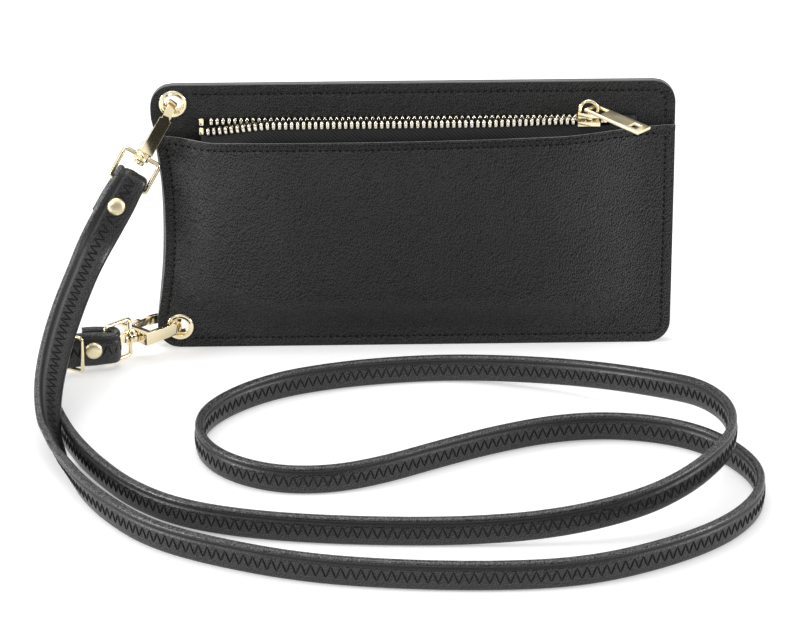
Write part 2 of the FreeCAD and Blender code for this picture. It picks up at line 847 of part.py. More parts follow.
def make_stops():
    """Top stops at the rows' left ends, the bottom stop past the slider and the end tab."""
    start, end = zip_ends()
    out, rise = row_place(start)
    near = size("leather / 2 + glue_gap")
    back_rise = size("row_height - row_mouth_drop")
    left = start - size("stop_long + stop_gap")
    stops = []
    for name, y, z in (("FrontStop", -out, rise), ("BackStop", -near - size("tooth_deep"), back_rise)):
        place = Placement(Vector(left, y, z), Rotation())
        stops.append(primitive("Box", name, place, Length="stop_long", Width="tooth_deep",
                               Height="tooth_high"))
    node(fuse("TopStops", stops), "zip_top_stops")
    x = end + size("2 * slider_gap + slider_long")
    place = Placement(Vector(x, -near - size("tape_thick + glue_gap + bottom_stop_wide"), back_rise), Rotation())
    stop = primitive("Box", "BottomStop", place, Length="bottom_stop_long", Width="bottom_stop_wide",
                     Height="bottom_stop_high")
    node(stop, "zip_bottom_stop")
    x = size(tab_left_text)
    foot = hem_line(x + size("end_tab_long")) + size("end_tab_gap")
    place = Placement(Vector(x, -near - size("tape_thick + glue_gap + end_tab_thick"), foot), Rotation())
    tab = primitive("Box", "EndTab", place, Length="end_tab_long", Width="end_tab_thick",
                    Height="end_tab_high")
    node(tab, "zip_end_tab")


def slider_corner():
    """The slider's left, front, bottom corner."""
    start, end = zip_ends()
    low = size("row_height - row_mouth_drop - slider_drop")
    return Vector(end + size("slider_gap"), -size("slider_near + slider_wide"), low)


def make_slider():
    """Two plates with turned-in lips, the wedge that parts the rows, and a sloping nose."""
    body = node(new_body("ZipSlider"), "zip_slider")
    tall = "2 * slider_plate + slider_throat"
    half = "slider_wide / 2"
    lip_low = "slider_plate + slider_lip"
    lip_high = "slider_plate + slider_throat - slider_lip"
    inner = f"({half} - slider_lip_thick)"
    under = "slider_plate"
    over = "(slider_plate + slider_throat)"
    lower = [(half, "0"), (half, lip_low), (inner, lip_low), (inner, under),
             (f"-{inner}", under), (f"-{inner}", lip_low), (f"-{half}", lip_low), (f"-{half}", "0")]
    upper = [(half, lip_high), (half, tall), (f"-({half})", tall), (f"-({half})", lip_high),
             (f"-{inner}", lip_high), (f"-{inner}", over), (inner, over), (inner, lip_high)]
    post = box_path("-(slider_post / 2)", "slider_post / 2", "0", tall)
    padded(body, "YZ_Plane", post, "slider_long / 3")
    padded(body, "YZ_Plane", lower, "slider_long")
    padded(body, "YZ_Plane", upper, "slider_long")
    nose = [("slider_long / 2", f"{tall} - slider_plate"), ("slider_long / 2 - slider_nose", tall),
            ("slider_long / 2", tall)]
    slotted(body, "XZ_Plane", nose, "2 * slider_wide")
    corner = slider_corner()
    middle = Vector(size("slider_long / 2"), size("slider_wide / 2"), 0)
    body.Placement = Placement(corner + middle, Rotation())


def bail_centre():
    corner = slider_corner()
    top = size("2 * slider_plate + slider_throat + bail_leg")
    return corner + Vector(size("slider_long / 2"), size("slider_wide / 2"), top)


def make_bail():
    """The wire arch on the slider that the pull hangs from."""
    body = node(new_body("ZipBail"), "zip_bail")
    outer = "(bail_inner + bail_wire)"
    path = [
        (f"-{outer}", "-bail_leg"), (f"-{outer}", "0"),
        (outer, "0", "0", outer, "0"), (outer, "-bail_leg"), ("bail_inner", "-bail_leg"),
        ("bail_inner", "0"), ("-bail_inner", "0", "0", "bail_inner", "0"),
        ("-bail_inner", "-bail_leg"),
    ]
    padded(body, "XZ_Plane", path, "bail_wire")
    body.Placement = Placement(bail_centre(), Rotation())


def pull_place():
    """The pull's frame: its X runs along it from the bail, its Y is the hinge's line."""
    yaw = radians(size("pull_yaw_angle"))
    droop = radians(size("pull_droop_angle"))
    x_axis = Vector(cos(droop) * cos(yaw), -cos(droop) * sin(yaw), -sin(droop))
    y_axis = Vector(sin(yaw), cos(yaw), 0)
    origin = bail_centre() + Vector(size("pull_forward"), 0, size("pull_lift - bail_leg"))
    return framed(origin, x_axis, y_axis)


def make_pull():
    """A tapered tag with a slot for the bail and a window near its end."""
    body = node(new_body("ZipPull"), "zip_pull")
    back = "-(pull_bar / 2)"
    path = [(back, "-(pull_wide / 2)"), ("pull_long", "-(pull_end_wide / 2)"),
            ("pull_long", "pull_end_wide / 2"), (back, "pull_wide / 2")]
    padded(body, "XY_Plane", path, "pull_thick")
    slot = box_path("pull_bar / 2", "pull_bar / 2 + pull_slot", "-(pull_slot_wide / 2)", "pull_slot_wide / 2")
    slotted(body, "XY_Plane", slot, "2 * pull_thick")
    window = box_path("pull_long - pull_margin - pull_window", "pull_long - pull_margin",
                      "-(pull_window_wide / 2)", "pull_window_wide / 2")
    slotted(body, "XY_Plane", window, "2 * pull_thick")
    body.Placement = pull_place()


# Swivel hooks, in a frame whose X runs from the nose to the strap and whose Y is the depth

def hook_frame(eyelet, hang_text, yaw_text):
    """A hook's frame from its eyelet, the way it is pulled and how far it leans forward."""
    hang = radians(size(hang_text))
    yaw = radians(size(yaw_text))
    pull = Vector(-sin(hang), 0, -cos(hang))
    depth = Vector(0, 1, 0)
    x_axis = pull * cos(yaw) - depth * sin(yaw)
    y_axis = depth * cos(yaw) + pull * sin(yaw)
    return framed(eyelet + pull * size("nose_radius + hook_pull"), x_axis, y_axis)


def make_hook(name, place):
    """The bent bar with its nose, wide spine and the base that carries gate and swivel."""
    body = node(new_body(f"{name}_hook_body"), f"{name}_hook")
    outer = "(nose_radius + hook_bar / 2)"
    inner = "(nose_radius - hook_bar / 2)"
    path = [
        ("hook_long", f"-{inner}"), ("hook_long", f"-{outer}"), ("0", f"-{outer}"),
        ("0", outer, f"-{outer}", "0", "0"), ("hook_tip", outer), ("hook_tip", inner),
        ("0", inner), ("0", f"-{inner}", f"-{inner}", "0", "0"),
    ]
    padded(body, "XY_Plane", path, "hook_wide")
    padded(body, "XY_Plane", box_path("0", "hook_long", f"-{outer}", f"-{inner}"), "spine_wide")
    padded(body, "XY_Plane", box_path("hook_long - base_long", "hook_long", f"-{outer}",
                                      "nose_radius + ear_rise"), "base_wide")
    slot = box_path("hook_long - base_long - gate_gap", "hook_long + gate_gap",
                    "nose_radius - ear_rise - gate_gap", "nose_radius + ear_rise + gate_gap")
    slotted(body, "XY_Plane", slot, "base_wide - 2 * ear_thick")
    bored(body, "XY_Plane", [("hook_long - pin_inset", "nose_radius", "pin_diameter / 2 + fit_gap / 2")],
          "2 * base_wide")
    body.Placement = place


def make_gate(name, place):
    """The sprung gate with its thumb knob."""
    body = node(new_body(f"{name}_gate_body"), f"{name}_gate")
    low = "(nose_radius - gate_thick / 2)"
    high = "(nose_radius + gate_thick / 2)"
    wide = "base_wide - 2 * ear_thick - 2 * gate_gap"
    pivot = "(hook_long - pin_inset)"
    path = [
        (pivot, low), (pivot, high, f"{pivot} + gate_thick / 2", "nose_radius", pivot),
        ("hook_tip + gate_gap", high), ("hook_tip + gate_gap", low),
    ]
    padded(body, "XY_Plane", path, wide)
    padded(body, "XY_Plane", box_path("hook_tip + knob_start", "hook_tip + knob_start + knob_long",
                                      "nose_radius", f"{high} + knob_high"), wide)
    bored(body, "XY_Plane", [(pivot, "nose_radius", "pin_diameter / 2 + pin_gap")], "2 * base_wide")
    body.Placement = place


def make_gate_pin(name, place):
    start = place.multVec(Vector(size("hook_long - pin_inset"), size("nose_radius"), -size("base_wide / 2")))
    axis = place.Rotation.multVec(Vector(0, 0, 1))
    pin = primitive("Cylinder", f"{name}_pin", along(start, axis), Radius="pin_diameter / 2",
                    Height="base_wide")
    node(pin, f"{name}_gate_pin")


def make_gate_spring(name, place):
    """A leaf from the base to the gate's inner face."""
    body = node(new_body(f"{name}_spring_body"), f"{name}_gate_spring")
    root = "(hook_long - base_long)"
    touch = "(nose_radius - gate_thick / 2 - fit_gap)"
    path = [
        (root, "0"), (root, "2 * spring_thick"), (f"{root} - spring_reach", touch),
        (f"{root} - spring_reach - spring_thick", touch),
    ]
    padded(body, "XY_Plane", path, "spring_wide")
    body.Placement = place


def make_swivel(name, place):
    """The headed stem in the hook's base and the wire loop that turns on it."""
    axis = place.Rotation.multVec(Vector(1, 0, 0))
    neck = "(boss_long + 2 * swivel_gap)"
    stem = turned(f"{name}_stem_body", [
        ("stem_diameter / 2", "0"), ("stem_diameter / 2", neck), ("stem_head / 2", neck),
        ("stem_head / 2", f"{neck} + stem_head_long"), ("0", f"{neck} + stem_head_long"), ("0", "0"),
    ])
    stem.Placement = along(place.multVec(Vector(size("hook_long"), 0, 0)), axis)
    node(stem, f"{name}_swivel_stem")
    boss_start = Vector(size("hook_long + swivel_gap"), 0, 0)
    boss = primitive("Cylinder", f"{name}_boss", along(place.multVec(boss_start), axis),
                     Radius="boss_diameter / 2", Height="boss_long")
    bore = primitive("Cylinder", f"{name}_bore", along(place.multVec(boss_start), axis),
                     Radius="stem_diameter / 2 + swivel_gap", Height="boss_long")
    wire = feature(f"{name}_wire", loop_shape())
    wire.Placement = place
    ring = fuse(f"{name}_ring", [boss, wire])
    node(cut(f"{name}_loop_cut", ring, bore), f"{name}_swivel_loop")


def loop_shape():
    """The loop's wire: a rounded rectangle across the hook, open inside the boss."""
    near = size("loop_start")
    far = near + size("loop_long")
    side = size("loop_wide / 2")
    start = size("stem_diameter / 2 + swivel_gap")
    points = [Vector(near, 0, start), Vector(near, 0, side), Vector(far, 0, side),
              Vector(far, 0, -side), Vector(near, 0, -side), Vector(near, 0, -start)]
    path = Part.Wire(bent_path(points, lambda before, after, turn: size("loop_corner")))
    ring = wire_ring(points[0], Vector(1, 0, 0), Vector(0, 1, 0), "loop_wire")
    return path.makePipeShell([ring], True, False)


def wire_ring(centre, across, deep, thick_text):
    """The section of a bent wire, drawn with flats."""
    radius = size(f"{thick_text} / 2") / cos(pi / wire_side_count)
    turns = [2 * pi * (index + 0.5) / wire_side_count for index in range(wire_side_count)]
    corners = [centre + across * (radius * cos(turn)) + deep * (radius * sin(turn)) for turn in turns]
    return Part.makePolygon(corners + corners[:1])


def bent_path(points, radius_of):
    """Straight runs joined by tangent arcs."""
    edges = []
    here = points[0]
    for before, corner, after in zip(points, points[1:], points[2:]):
        come = (corner - before).normalize()
        leave = (after - corner).normalize()
        turn = come.getAngle(leave)
        radius = radius_of((corner - before).Length, (after - corner).Length, turn)
        trim = radius * tan(turn / 2)
        first = corner - come * trim
        last = corner + leave * trim
        bisector = (leave - come).normalize()
        via = corner + bisector * (radius / cos(turn / 2) - radius)
        edges.append(Part.LineSegment(here, first).toShape())
        edges.append(Part.Arc(first, via, last).toShape())
        here = last
    edges.append(Part.LineSegment(here, points[-1]).toShape())
    return edges


# Strap ends: a fold round the loop, held by a rivet

def make_strap_end(name, place, long_text, tail_text, rivet_text):
    """The folded end; its frame's X runs from the fold's tip along the strap, its Y is the depth."""
    body = node(new_body(f"{name}_end_body"), f"{name}_strap_end")
    inner = "(fold_gap / 2)"
    outer = "(fold_gap / 2 + strap_thick)"
    path = [
        (long_text, f"-{inner}"), (long_text, f"-{outer}"), (outer, f"-{outer}"),
        (outer, outer, "0", "0", outer), (tail_text, outer), (tail_text, inner),
        (outer, inner), (outer, f"-{inner}", f"{outer} - {inner}", "0", outer),
    ]
    padded(body, "XY_Plane", path, "strap_wide")
    sketch = new_sketch(body, "XZ_Plane")
    draw_circle(sketch, rivet_text, "0", "rivet_post / 2 + fit_gap")
    before = body.Shape.Volume
    extrude(body, "Pocket", sketch, f"3 * {outer}")
    if body.Shape.Volume >= before:
        raise ValueError(f"{name}: the rivet's hole misses the strap")
    body.Placement = place
    axis = place.Rotation.multVec(Vector(0, 1, 0))
    front = place.multVec(Vector(size(rivet_text), -size(outer), 0))
    back = place.multVec(Vector(size(rivet_text), size(outer), 0))
    cap = turned(f"{name}_cap_body", [
        ("rivet_cap / 2", "0"), ("rivet_cap / 2", "rivet_dome"), ("0", "rivet_dome"), ("0", "0")])
    bevelled(cap, "rivet_chamfer", on_circle("rivet_cap / 2", "rivet_dome"))
    cap.Placement = along(front, -axis)
    node(cap, f"{name}_rivet_cap")
    shank = f"(2 * {outer})"
    post = turned(f"{name}_post_body", [
        ("rivet_cap / 2", "0"), ("rivet_cap / 2", "rivet_back"), ("0", "rivet_back"),
        ("0", f"-{shank}"), ("rivet_post / 2", f"-{shank}"), ("rivet_post / 2", "0")])
    post.Placement = along(back, axis)
    node(post, f"{name}_rivet_post")


def make_hooks_and_ends():
    x, upper_z, lower_z = eyelet_places()
    upper = hook_frame(Vector(x, size("upper_depth"), upper_z), "upper_hang_angle", "upper_yaw_angle")
    lower = hook_frame(Vector(x, 0, lower_z), "lower_hang_angle", "lower_yaw_angle")
    for name, place in (("upper", upper), ("lower", lower)):
        make_hook(name, place)
        make_gate(name, place)
        make_gate_pin(name, place)
        make_gate_spring(name, place)
        make_swivel(name, place)
    bar = Vector(size("loop_start + loop_long"), 0, 0)
    tip = bar - Vector(size("fold_reach"), 0, 0)
    make_strap_end("upper", Placement(upper.multVec(tip), upper.Rotation), "upper_end_long",
                   "upper_tail_long", "upper_rivet")
    yaw = radians(size("lower_fold_angle"))
    heading = Vector(-cos(yaw), -sin(yaw), 0)
    depth = Vector(-sin(yaw), cos(yaw), 0)
    tip = lower.multVec(bar) - heading * size("fold_reach")
    lower_end = framed(tip, heading, depth)
    make_strap_end("lower", lower_end, "lower_end_long", "lower_tail_long", "lower_rivet")
    make_slide(lower_end)
    return upper


# Strap

def wide_radius(before, after, turn):
    """The largest arc that two runs leave room for."""
    return bend_share * min(before, after) / tan(turn / 2)


def tell_radii(name, points):
    radii = []
    for before, corner, after in zip(points, points[1:], points[2:]):
        turn = (corner - before).getAngle(after - corner)
        radii.append(wide_radius((corner - before).Length, (after - corner).Length, turn))
    listed = ", ".join(f"{radius:.0f}" for radius in radii)
    print(f"{name}: radii {listed} mm, least {min(radii):.1f} mm")


def tell_volume(name, shape, length):
    section = size("strap_wide * strap_thick")
    print(f"{name}: length {length:.1f} mm, volume over section times length {shape.Volume / (section * length):.4f}")


def strap_section(centre, across, tangent):
    """The strap's rectangle at a point of its line."""
    side = tangent.cross(across).normalize() * size("strap_thick / 2")
    edge = across * size("strap_wide / 2")
    corners = [centre + side + edge, centre - side + edge, centre - side - edge, centre + side - edge]
    return Part.makePolygon(corners + corners[:1])


def make_rise(upper):
    """The stretch that comes down from the upper hook and turns on edge."""
    points = [Vector(*place) for place in RISE]
    path = Part.Wire(bent_path(points, wide_radius))
    stations = path.discretize(Number=rise_station_count)
    start = upper.Rotation.multVec(Vector(0, 0, -1))
    upright = Vector(0, 0, 1)
    wires = []
    for index, centre in enumerate(stations):
        before = stations[max(index - 1, 0)]
        after = stations[min(index + 1, rise_station_count - 1)]
        tangent = (after - before).normalize()
        share = index / (rise_station_count - 1)
        twist = ease(share / twist_share)
        across = (start * (1 - twist) + upright * twist).normalize()
        square = (across - tangent * across.dot(tangent)).normalize()
        level = ease((share - twist_share) / (1 - twist_share))
        wires.append(strap_section(centre, (square * (1 - level) + upright * level).normalize(), tangent))
    shape = Part.makeLoft(wires, True, True)
    tell_radii("strap_rise", points)
    tell_volume("strap_rise", shape, path.Length)
    node(feature("StrapRise", shape), "strap_rise")


def make_run():
    """The stretch that lies on edge on the floor and crosses over itself once."""
    points = [Vector(*place) for place in RUN]
    path = Part.Wire(bent_path(points, wide_radius))
    tangent = (points[1] - points[0]).normalize()
    pipe = Part.BRepOffsetAPI.MakePipeShell(path)
    pipe.setBiNormalMode(Vector(0, 0, 1))
    pipe.add(strap_section(points[0], Vector(0, 0, 1), tangent))
    pipe.build()
    pipe.makeSolid()
    shape = pipe.shape()
    tell_radii("strap_run", points)
    tell_volume("strap_run", shape, path.Length)
    node(feature("StrapRun", shape), "strap_run")


def make_slide(lower_end):
    """A wire frame that the strap passes through beside its lower end."""
    side = size("(slide_long - slide_wire) / 2")
    rise = size("(slide_high - slide_wire) / 2")
    corner = size("slide_corner")
    points = [Vector(0, 0, -rise), Vector(side, 0, -rise), Vector(side, 0, rise),
              Vector(-side, 0, rise), Vector(-side, 0, -rise), Vector(0, 0, -rise)]
    path = Part.Wire(bent_path(points, lambda before, after, turn: corner))
    ring = wire_ring(points[0], Vector(0, 1, 0), Vector(0, 0, 1), "slide_wire")
    slide = feature("StrapSlide", path.makePipeShell([ring], True, False))
    leg = Vector(size("lower_end_long + slide_back"), -size("(fold_gap + strap_thick) / 2"), 0)
    place = lower_end.multVec(leg)
    place.z = size("slide_high / 2 + slide_lift")
    slide.Placement = Placement(place, Rotation(Vector(0, 0, 1), size("lower_fold_angle - slide_turn_angle")))
    node(slide, "strap_slide")


def build():
    make_panels()
    make_flat_plies()
    make_eyelets()
    make_front_tape()
    make_front_teeth()
    make_back_zip()
    make_stops()
    make_slider()
    make_bail()
    make_pull()
    upper = make_hooks_and_ends()
    make_rise(upper)
    make_run()
    doc.recompute()


def write():
    """Checks every object, then writes each sub-part to its own file."""
    for thing in doc.Objects:
        if "Invalid" in thing.State or "Error" in thing.State:
            raise ValueError(f"{thing.Name} did not build")
    for thing in NODES:
        if thing.Shape.isNull() or not thing.Shape.isValid():
            raise ValueError(f"{thing.Label} has no valid shape")
    os.makedirs("parts", exist_ok=True)
    for thing in NODES:
        thing.Shape.exportStep(f"parts/{thing.Label}.step")
    print(f"{len(NODES)} sub-parts written")


build()
write()
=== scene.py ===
"""Phone pouch: grained leather, stitching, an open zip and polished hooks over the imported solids.

Lengths are millimetres in the pouch's own frame. Properties, node inputs and materials use metres.
"""
import json
from collections import namedtuple
from math import cos, exp, pi, radians, sin, sqrt

import bmesh
import bpy
from bpy.props import FloatProperty, FloatVectorProperty, PointerProperty
from mathutils import Matrix, Vector, noise


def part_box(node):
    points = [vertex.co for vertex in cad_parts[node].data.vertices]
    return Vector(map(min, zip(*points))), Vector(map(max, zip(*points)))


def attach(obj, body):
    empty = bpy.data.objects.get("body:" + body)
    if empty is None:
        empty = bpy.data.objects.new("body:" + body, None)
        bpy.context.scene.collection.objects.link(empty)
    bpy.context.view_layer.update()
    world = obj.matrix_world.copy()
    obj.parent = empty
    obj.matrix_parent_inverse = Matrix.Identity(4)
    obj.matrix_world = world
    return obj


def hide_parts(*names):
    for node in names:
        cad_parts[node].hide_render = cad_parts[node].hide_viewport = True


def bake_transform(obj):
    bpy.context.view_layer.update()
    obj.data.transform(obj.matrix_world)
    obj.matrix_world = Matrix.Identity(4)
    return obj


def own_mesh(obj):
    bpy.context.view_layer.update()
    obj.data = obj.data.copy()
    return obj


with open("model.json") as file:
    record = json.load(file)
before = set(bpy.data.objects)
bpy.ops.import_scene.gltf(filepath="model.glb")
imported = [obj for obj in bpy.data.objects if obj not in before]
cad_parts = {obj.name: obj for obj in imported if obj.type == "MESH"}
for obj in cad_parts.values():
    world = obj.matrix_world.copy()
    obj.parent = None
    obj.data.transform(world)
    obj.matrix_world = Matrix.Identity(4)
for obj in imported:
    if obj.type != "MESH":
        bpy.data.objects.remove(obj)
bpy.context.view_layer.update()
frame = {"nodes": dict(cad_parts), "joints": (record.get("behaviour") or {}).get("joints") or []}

bl_info = {
    "name": "Phone Pouch",
    "version": (1, 0, 0),
    "blender": (4, 5, 0),
    "location": "View3D > Sidebar > Pouch",
    "description": "Builds a leather phone pouch with a zip pocket and a long strap on two hooks",
    "category": "Object",
}

MM = 0.001
HALF_LENGTH = 88.0
HEIGHT = 94.0
CORNER = 7.5
NOTCH = 3.9
BACK_NOTCH = 2.6
LEATHER = 1.2
LINING = 0.4
LINING_LEVEL = 0.65
POCKET_LINING_TOP = 72.0
TAPE = 0.5
SEAM = 1.1
FACE = SEAM + LEATHER
SEWN_IN = 3.2
HEM_SEAM = 2.9
STITCH_SINK = 0.02
GROOVE_WIDTH = 0.6
GRID_STEP = 2.0
EYELET_X = -80.4
HOLE = 3.6
UPPER_EYELET_Z = 87.6
LOWER_EYELET_Z = 7.6
EYELETS = (UPPER_EYELET_Z, LOWER_EYELET_Z)
EYELET_CLEAR = 6.4
HEM = 76.4
HEM_TILT = 1.1
HEM_BOW = 1.7
ZIP_START = -69.6
ZIP_END = 54.6
TAPE_END = 75.0
ROW = 81.0
BACK_ROW = 80.4
BACK_TAPE_HEIGHT = 8.0
TAPE_PAST = 1.5
TAPE_GAP = 0.35
TAPE_TUCK = 4.4
BACK_TAPE_Y = -1.15
BACK_TEETH_Y = -1.65
TOOTH_RISE = 1.1

# The strap's line, from the upper strap end down to the floor
RISE = [
    (-103.4, -12.5, 49.3), (-107.5, -14.7, 42.6), (-111.6, -26.5, 35.8), (-115.3, -40.0, 29.2),
    (-118.2, -55.5, 22.2), (-119.6, -72.0, 14.8), (-118.2, -86.5, 8.4), (-115.8, -94.0, 6.5),
]
# From the foot of the rise round the floor and back to the lower strap end
RUN = [
    (-115.8, -94.0, 6.5), (-113.4, -101.5, 4.6), (-110.0, -110.0, 4.6), (-104.5, -124.0, 4.6),
    (-96.0, -139.0, 4.6), (-83.5, -155.0, 4.6), (-66.0, -167.0, 4.6), (-37.0, -179.8, 4.6),
    (-5.0, -185.5, 4.6), (27.5, -186.8, 4.6), (50.0, -183.5, 4.6), (72.0, -173.0, 4.6),
    (89.5, -160.0, 4.6), (100.5, -145.0, 4.6), (105.0, -129.5, 4.6), (103.5, -115.5, 4.6),
    (97.0, -101.5, 4.6), (87.0, -90.5, 4.6), (73.5, -84.0, 4.6), (58.0, -81.5, 4.6),
    (42.0, -84.0, 4.6), (24.0, -91.5, 4.6), (6.0, -102.0, 4.6), (-12.0, -113.5, 4.6),
    (-28.0, -119.8, 4.6), (-44.0, -119.5, 4.6), (-57.5, -112.5, 4.6), (-67.0, -101.0, 4.6),
    (-71.0, -86.5, 4.6), (-69.0, -72.0, 4.6), (-60.0, -58.0, 4.6), (-45.5, -46.0, 4.6),
    (-26.0, -38.5, 4.6), (-5.5, -34.5, 4.6), (15.0, -33.2, 4.6), (40.0, -39.5, 6.1),
    (61.0, -50.5, 8.6), (79.0, -66.0, 12.0), (91.0, -82.0, 15.8), (97.8, -97.5, 16.0),
    (97.5, -115.0, 16.0), (91.0, -130.0, 15.4), (80.0, -143.5, 13.5), (64.5, -153.0, 10.6),
    (40.0, -157.0, 6.6), (12.0, -157.2, 4.6), (-20.0, -156.0, 4.6), (-50.0, -151.5, 4.6),
    (-73.5, -142.8, 4.6), (-89.5, -128.5, 4.6), (-101.0, -110.5, 4.6), (-109.5, -93.0, 4.6),
    (-115.0, -77.0, 4.6), (-119.6, -60.0, 4.6), (-122.8, -45.0, 4.8), (-124.2, -33.0, 5.8),
    (-120.2, -22.9, 7.4), (-112.1, -21.6, 7.6),
]
NECK_LENGTH = 30.0
RISE_LENGTH = 96.0
RISE_FOOT = 21.0
TWIST_SHARES = (0.45, 1.7)
END_WIDTH = 1.16
RIVET_WIDTH = 1.30
LOOP_WIDTH = 1.20
RIVET_TAPER = 22.0
TAPER_START = 30.0
TAPER_LENGTH = 1.1 * RISE_LENGTH
ZIGZAG_THREAD = 0.0006
STRAP_FACE = 1.34

# The swivel loop's near and far bars, ahead of the hook's centre, and the folded ends round them
LOOP_NEAR = 14.85
LOOP_FAR = LOOP_NEAR + 10.8
LOOP_SIDE = 6.6
LOOP_CORNER = 2.8
LOOP_WIRE = 0.75
COLLAR_BACK = 1.6
# The leaf spring's root and tip, ahead of the hook's centre and deep
LEAF_ROOT = (10.0, 0.0)
LEAF_TIP = (6.75, 5.0)
FOLD_PAST = 5.0
FOLD_HALF = 2.4
LOWER_END_TURN = 8
RIVET_SEAT = 3.8
RIVET_ROOM = (3.4, 3.6)


def colour_field(name, description, default):
    return FloatVectorProperty(
        name=name, description=description, subtype="COLOR", size=3, min=0, max=1, default=default)


def length_field(name, description, default, least=0.0):
    return FloatProperty(name=name, description=description, unit="LENGTH", default=default, min=least)


def angle_field(name, description, degrees):
    return FloatProperty(name=name, description=description, subtype="ANGLE", default=radians(degrees))


class PouchLeather(bpy.types.PropertyGroup):
    colour: colour_field("Leather", "Colour of the panels", (0.038, 0.038, 0.039))
    edge: colour_field("Edge", "Colour of the painted edges", (0.055, 0.055, 0.055))
    grain: length_field("Grain", "Size of one pebble of the grain", 0.0009, 0.0002)
    stitch_pitch: length_field("Stitch pitch", "From one stitch to the next", 0.0022, 0.001)
    stitch_length: length_field("Stitch length", "Length of a stitch that shows", 0.0013)
    thread: length_field("Thread", "Thickness of the thread", 0.0007)


class PouchStrap(bpy.types.PropertyGroup):
    colour: colour_field("Strap leather", "Colour of the strap", (0.045, 0.045, 0.046))
    zigzag_pitch: length_field("Zigzag pitch", "Length of one zigzag", 0.003, 0.001)
    zigzag_top: length_field("Zigzag top", "Upper turn of the zigzag over the strap's line", 0.0017)
    zigzag_foot: length_field("Zigzag foot", "Lower turn of the zigzag under the strap's line", 0.0021)


class PouchZip(bpy.types.PropertyGroup):
    pitch: length_field("Tooth pitch", "From one tooth to the next", 0.002, 0.001)
    teeth: colour_field("Teeth", "Colour of the teeth", (0.80, 0.75, 0.64))
    tape: colour_field("Tape", "Colour of the woven tape", (0.012, 0.012, 0.013))


class PouchMetal(bpy.types.PropertyGroup):
    colour: colour_field("Gold", "Colour of the hooks, eyelets and rivets", (0.88, 0.77, 0.52))
    roughness: FloatProperty(
        name="Roughness", description="How dull the polish is", subtype="FACTOR", default=0.10, min=0, max=1)


class PouchStage(bpy.types.PropertyGroup):
    elevation: angle_field("Elevation", "How far the camera looks down", 22.5)
    azimuth: angle_field("Azimuth", "How far the camera stands to the right", -0.69)
    roll: angle_field("Roll", "Turn of the camera about its view", -0.39)
    distance: length_field("Distance", "From the camera to its target", 1.1164)
    lens: FloatProperty(name="Lens", description="Focal length in millimetres", default=146.03)


# Meshes

def ease(share):
    held = min(max(share, 0), 1)
    return held * held * (3 - 2 * held)


def linked(name, mesh):
    piece = bpy.data.objects.new(name, mesh)
    bpy.context.scene.collection.objects.link(piece)
    return piece


class Form:
    """Collects points in millimetres, faces and a UV pair for each point."""

    def __init__(self):
        self.points = []
        self.faces = []
        self.uvs = []

    def sheet(self, rows, uv_rows, closed=False, turned=False):
        """Quads over rows of points; closed joins each row's ends."""
        base = len(self.points)
        width = len(rows[0])
        for row, uv_row in zip(rows, uv_rows):
            self.points += row
            self.uvs += uv_row
        last = width if closed else width - 1
        for index in range(len(rows) - 1):
            for side in range(last):
                a = base + index * width + side
                b = base + index * width + (side + 1) % width
                face = (a, b, b + width, a + width)
                self.faces.append(face[::-1] if turned else face)
        return base

    def cap(self, base, width, turned=False):
        face = tuple(range(base, base + width))
        self.faces.append(face[::-1] if turned else face)

    def piece(self, name, *materials):
        mesh = bpy.data.meshes.new(name)
        mesh.from_pydata([Vector(point) * MM for point in self.points], [], self.faces)
        layer = mesh.uv_layers.new(name="UVMap")
        for loop in mesh.loops:
            layer.data[loop.index].uv = self.uvs[loop.vertex_index]
        for material in materials:
            mesh.materials.append(material)
        mesh.shade_smooth()
        mesh.validate()
        return linked(name, mesh)


def straightened(piece):
    """Merges doubles and turns all faces outwards."""
    mesh = bmesh.new()
    mesh.from_mesh(piece.data)
    bmesh.ops.remove_doubles(mesh, verts=mesh.verts, dist=0.002 * MM)
    bmesh.ops.recalc_face_normals(mesh, faces=mesh.faces)
    mesh.to_mesh(piece.data)
    mesh.free()
    return piece


def settled(piece):
    """Makes the piece's modifiers part of its mesh."""
    graph = bpy.context.evaluated_depsgraph_get()
    shown = piece.evaluated_get(graph)
    mesh = bpy.data.meshes.new_from_object(shown, preserve_all_data_layers=True, depsgraph=graph)
    piece.modifiers.clear()
    piece.data = mesh
    return piece


def bevel(piece, width, angle=35, harden=True):
    rim = piece.modifiers.new("rim", "BEVEL")
    rim.width = width * MM
    rim.segments = 3
    rim.limit_method = "ANGLE"
    rim.angle_limit = radians(angle)
    rim.harden_normals = harden
    return rim


def machined(node, name, material, width):
    """A metal part with its edges rolled over, made from its solid."""
    mesh = frame["nodes"][node].data.copy()
    mesh.name = name
    shape = bmesh.new()
    shape.from_mesh(mesh)
    bmesh.ops.remove_doubles(shape, verts=shape.verts, dist=0.002 * MM)
    bmesh.ops.dissolve_limit(shape, angle_limit=radians(0.5), verts=shape.verts, edges=shape.edges)
    shape.to_mesh(mesh)
    shape.free()
    mesh.materials.clear()
    mesh.materials.append(material)
    mesh.shade_smooth()
    piece = linked(name, mesh)
    bevel(piece, width)
    return settled(piece)


def lathe(form, profile, origin, axis, steps):
    """Turns a profile of radius and height about an axis."""
    up = Vector(axis).normalized()
    side = up.orthogonal().normalized()
    other = up.cross(side)
    rows = []
    uv_rows = []
    for radius, rise in profile:
        turns = [2 * pi * step / steps for step in range(steps)]
        centre = Vector(origin) + up * rise
        rows.append([tuple(centre + (side * cos(t) + other * sin(t)) * radius) for t in turns])
        uv_rows.append([(t, rise) for t in turns])
    form.sheet(rows, uv_rows, closed=True)


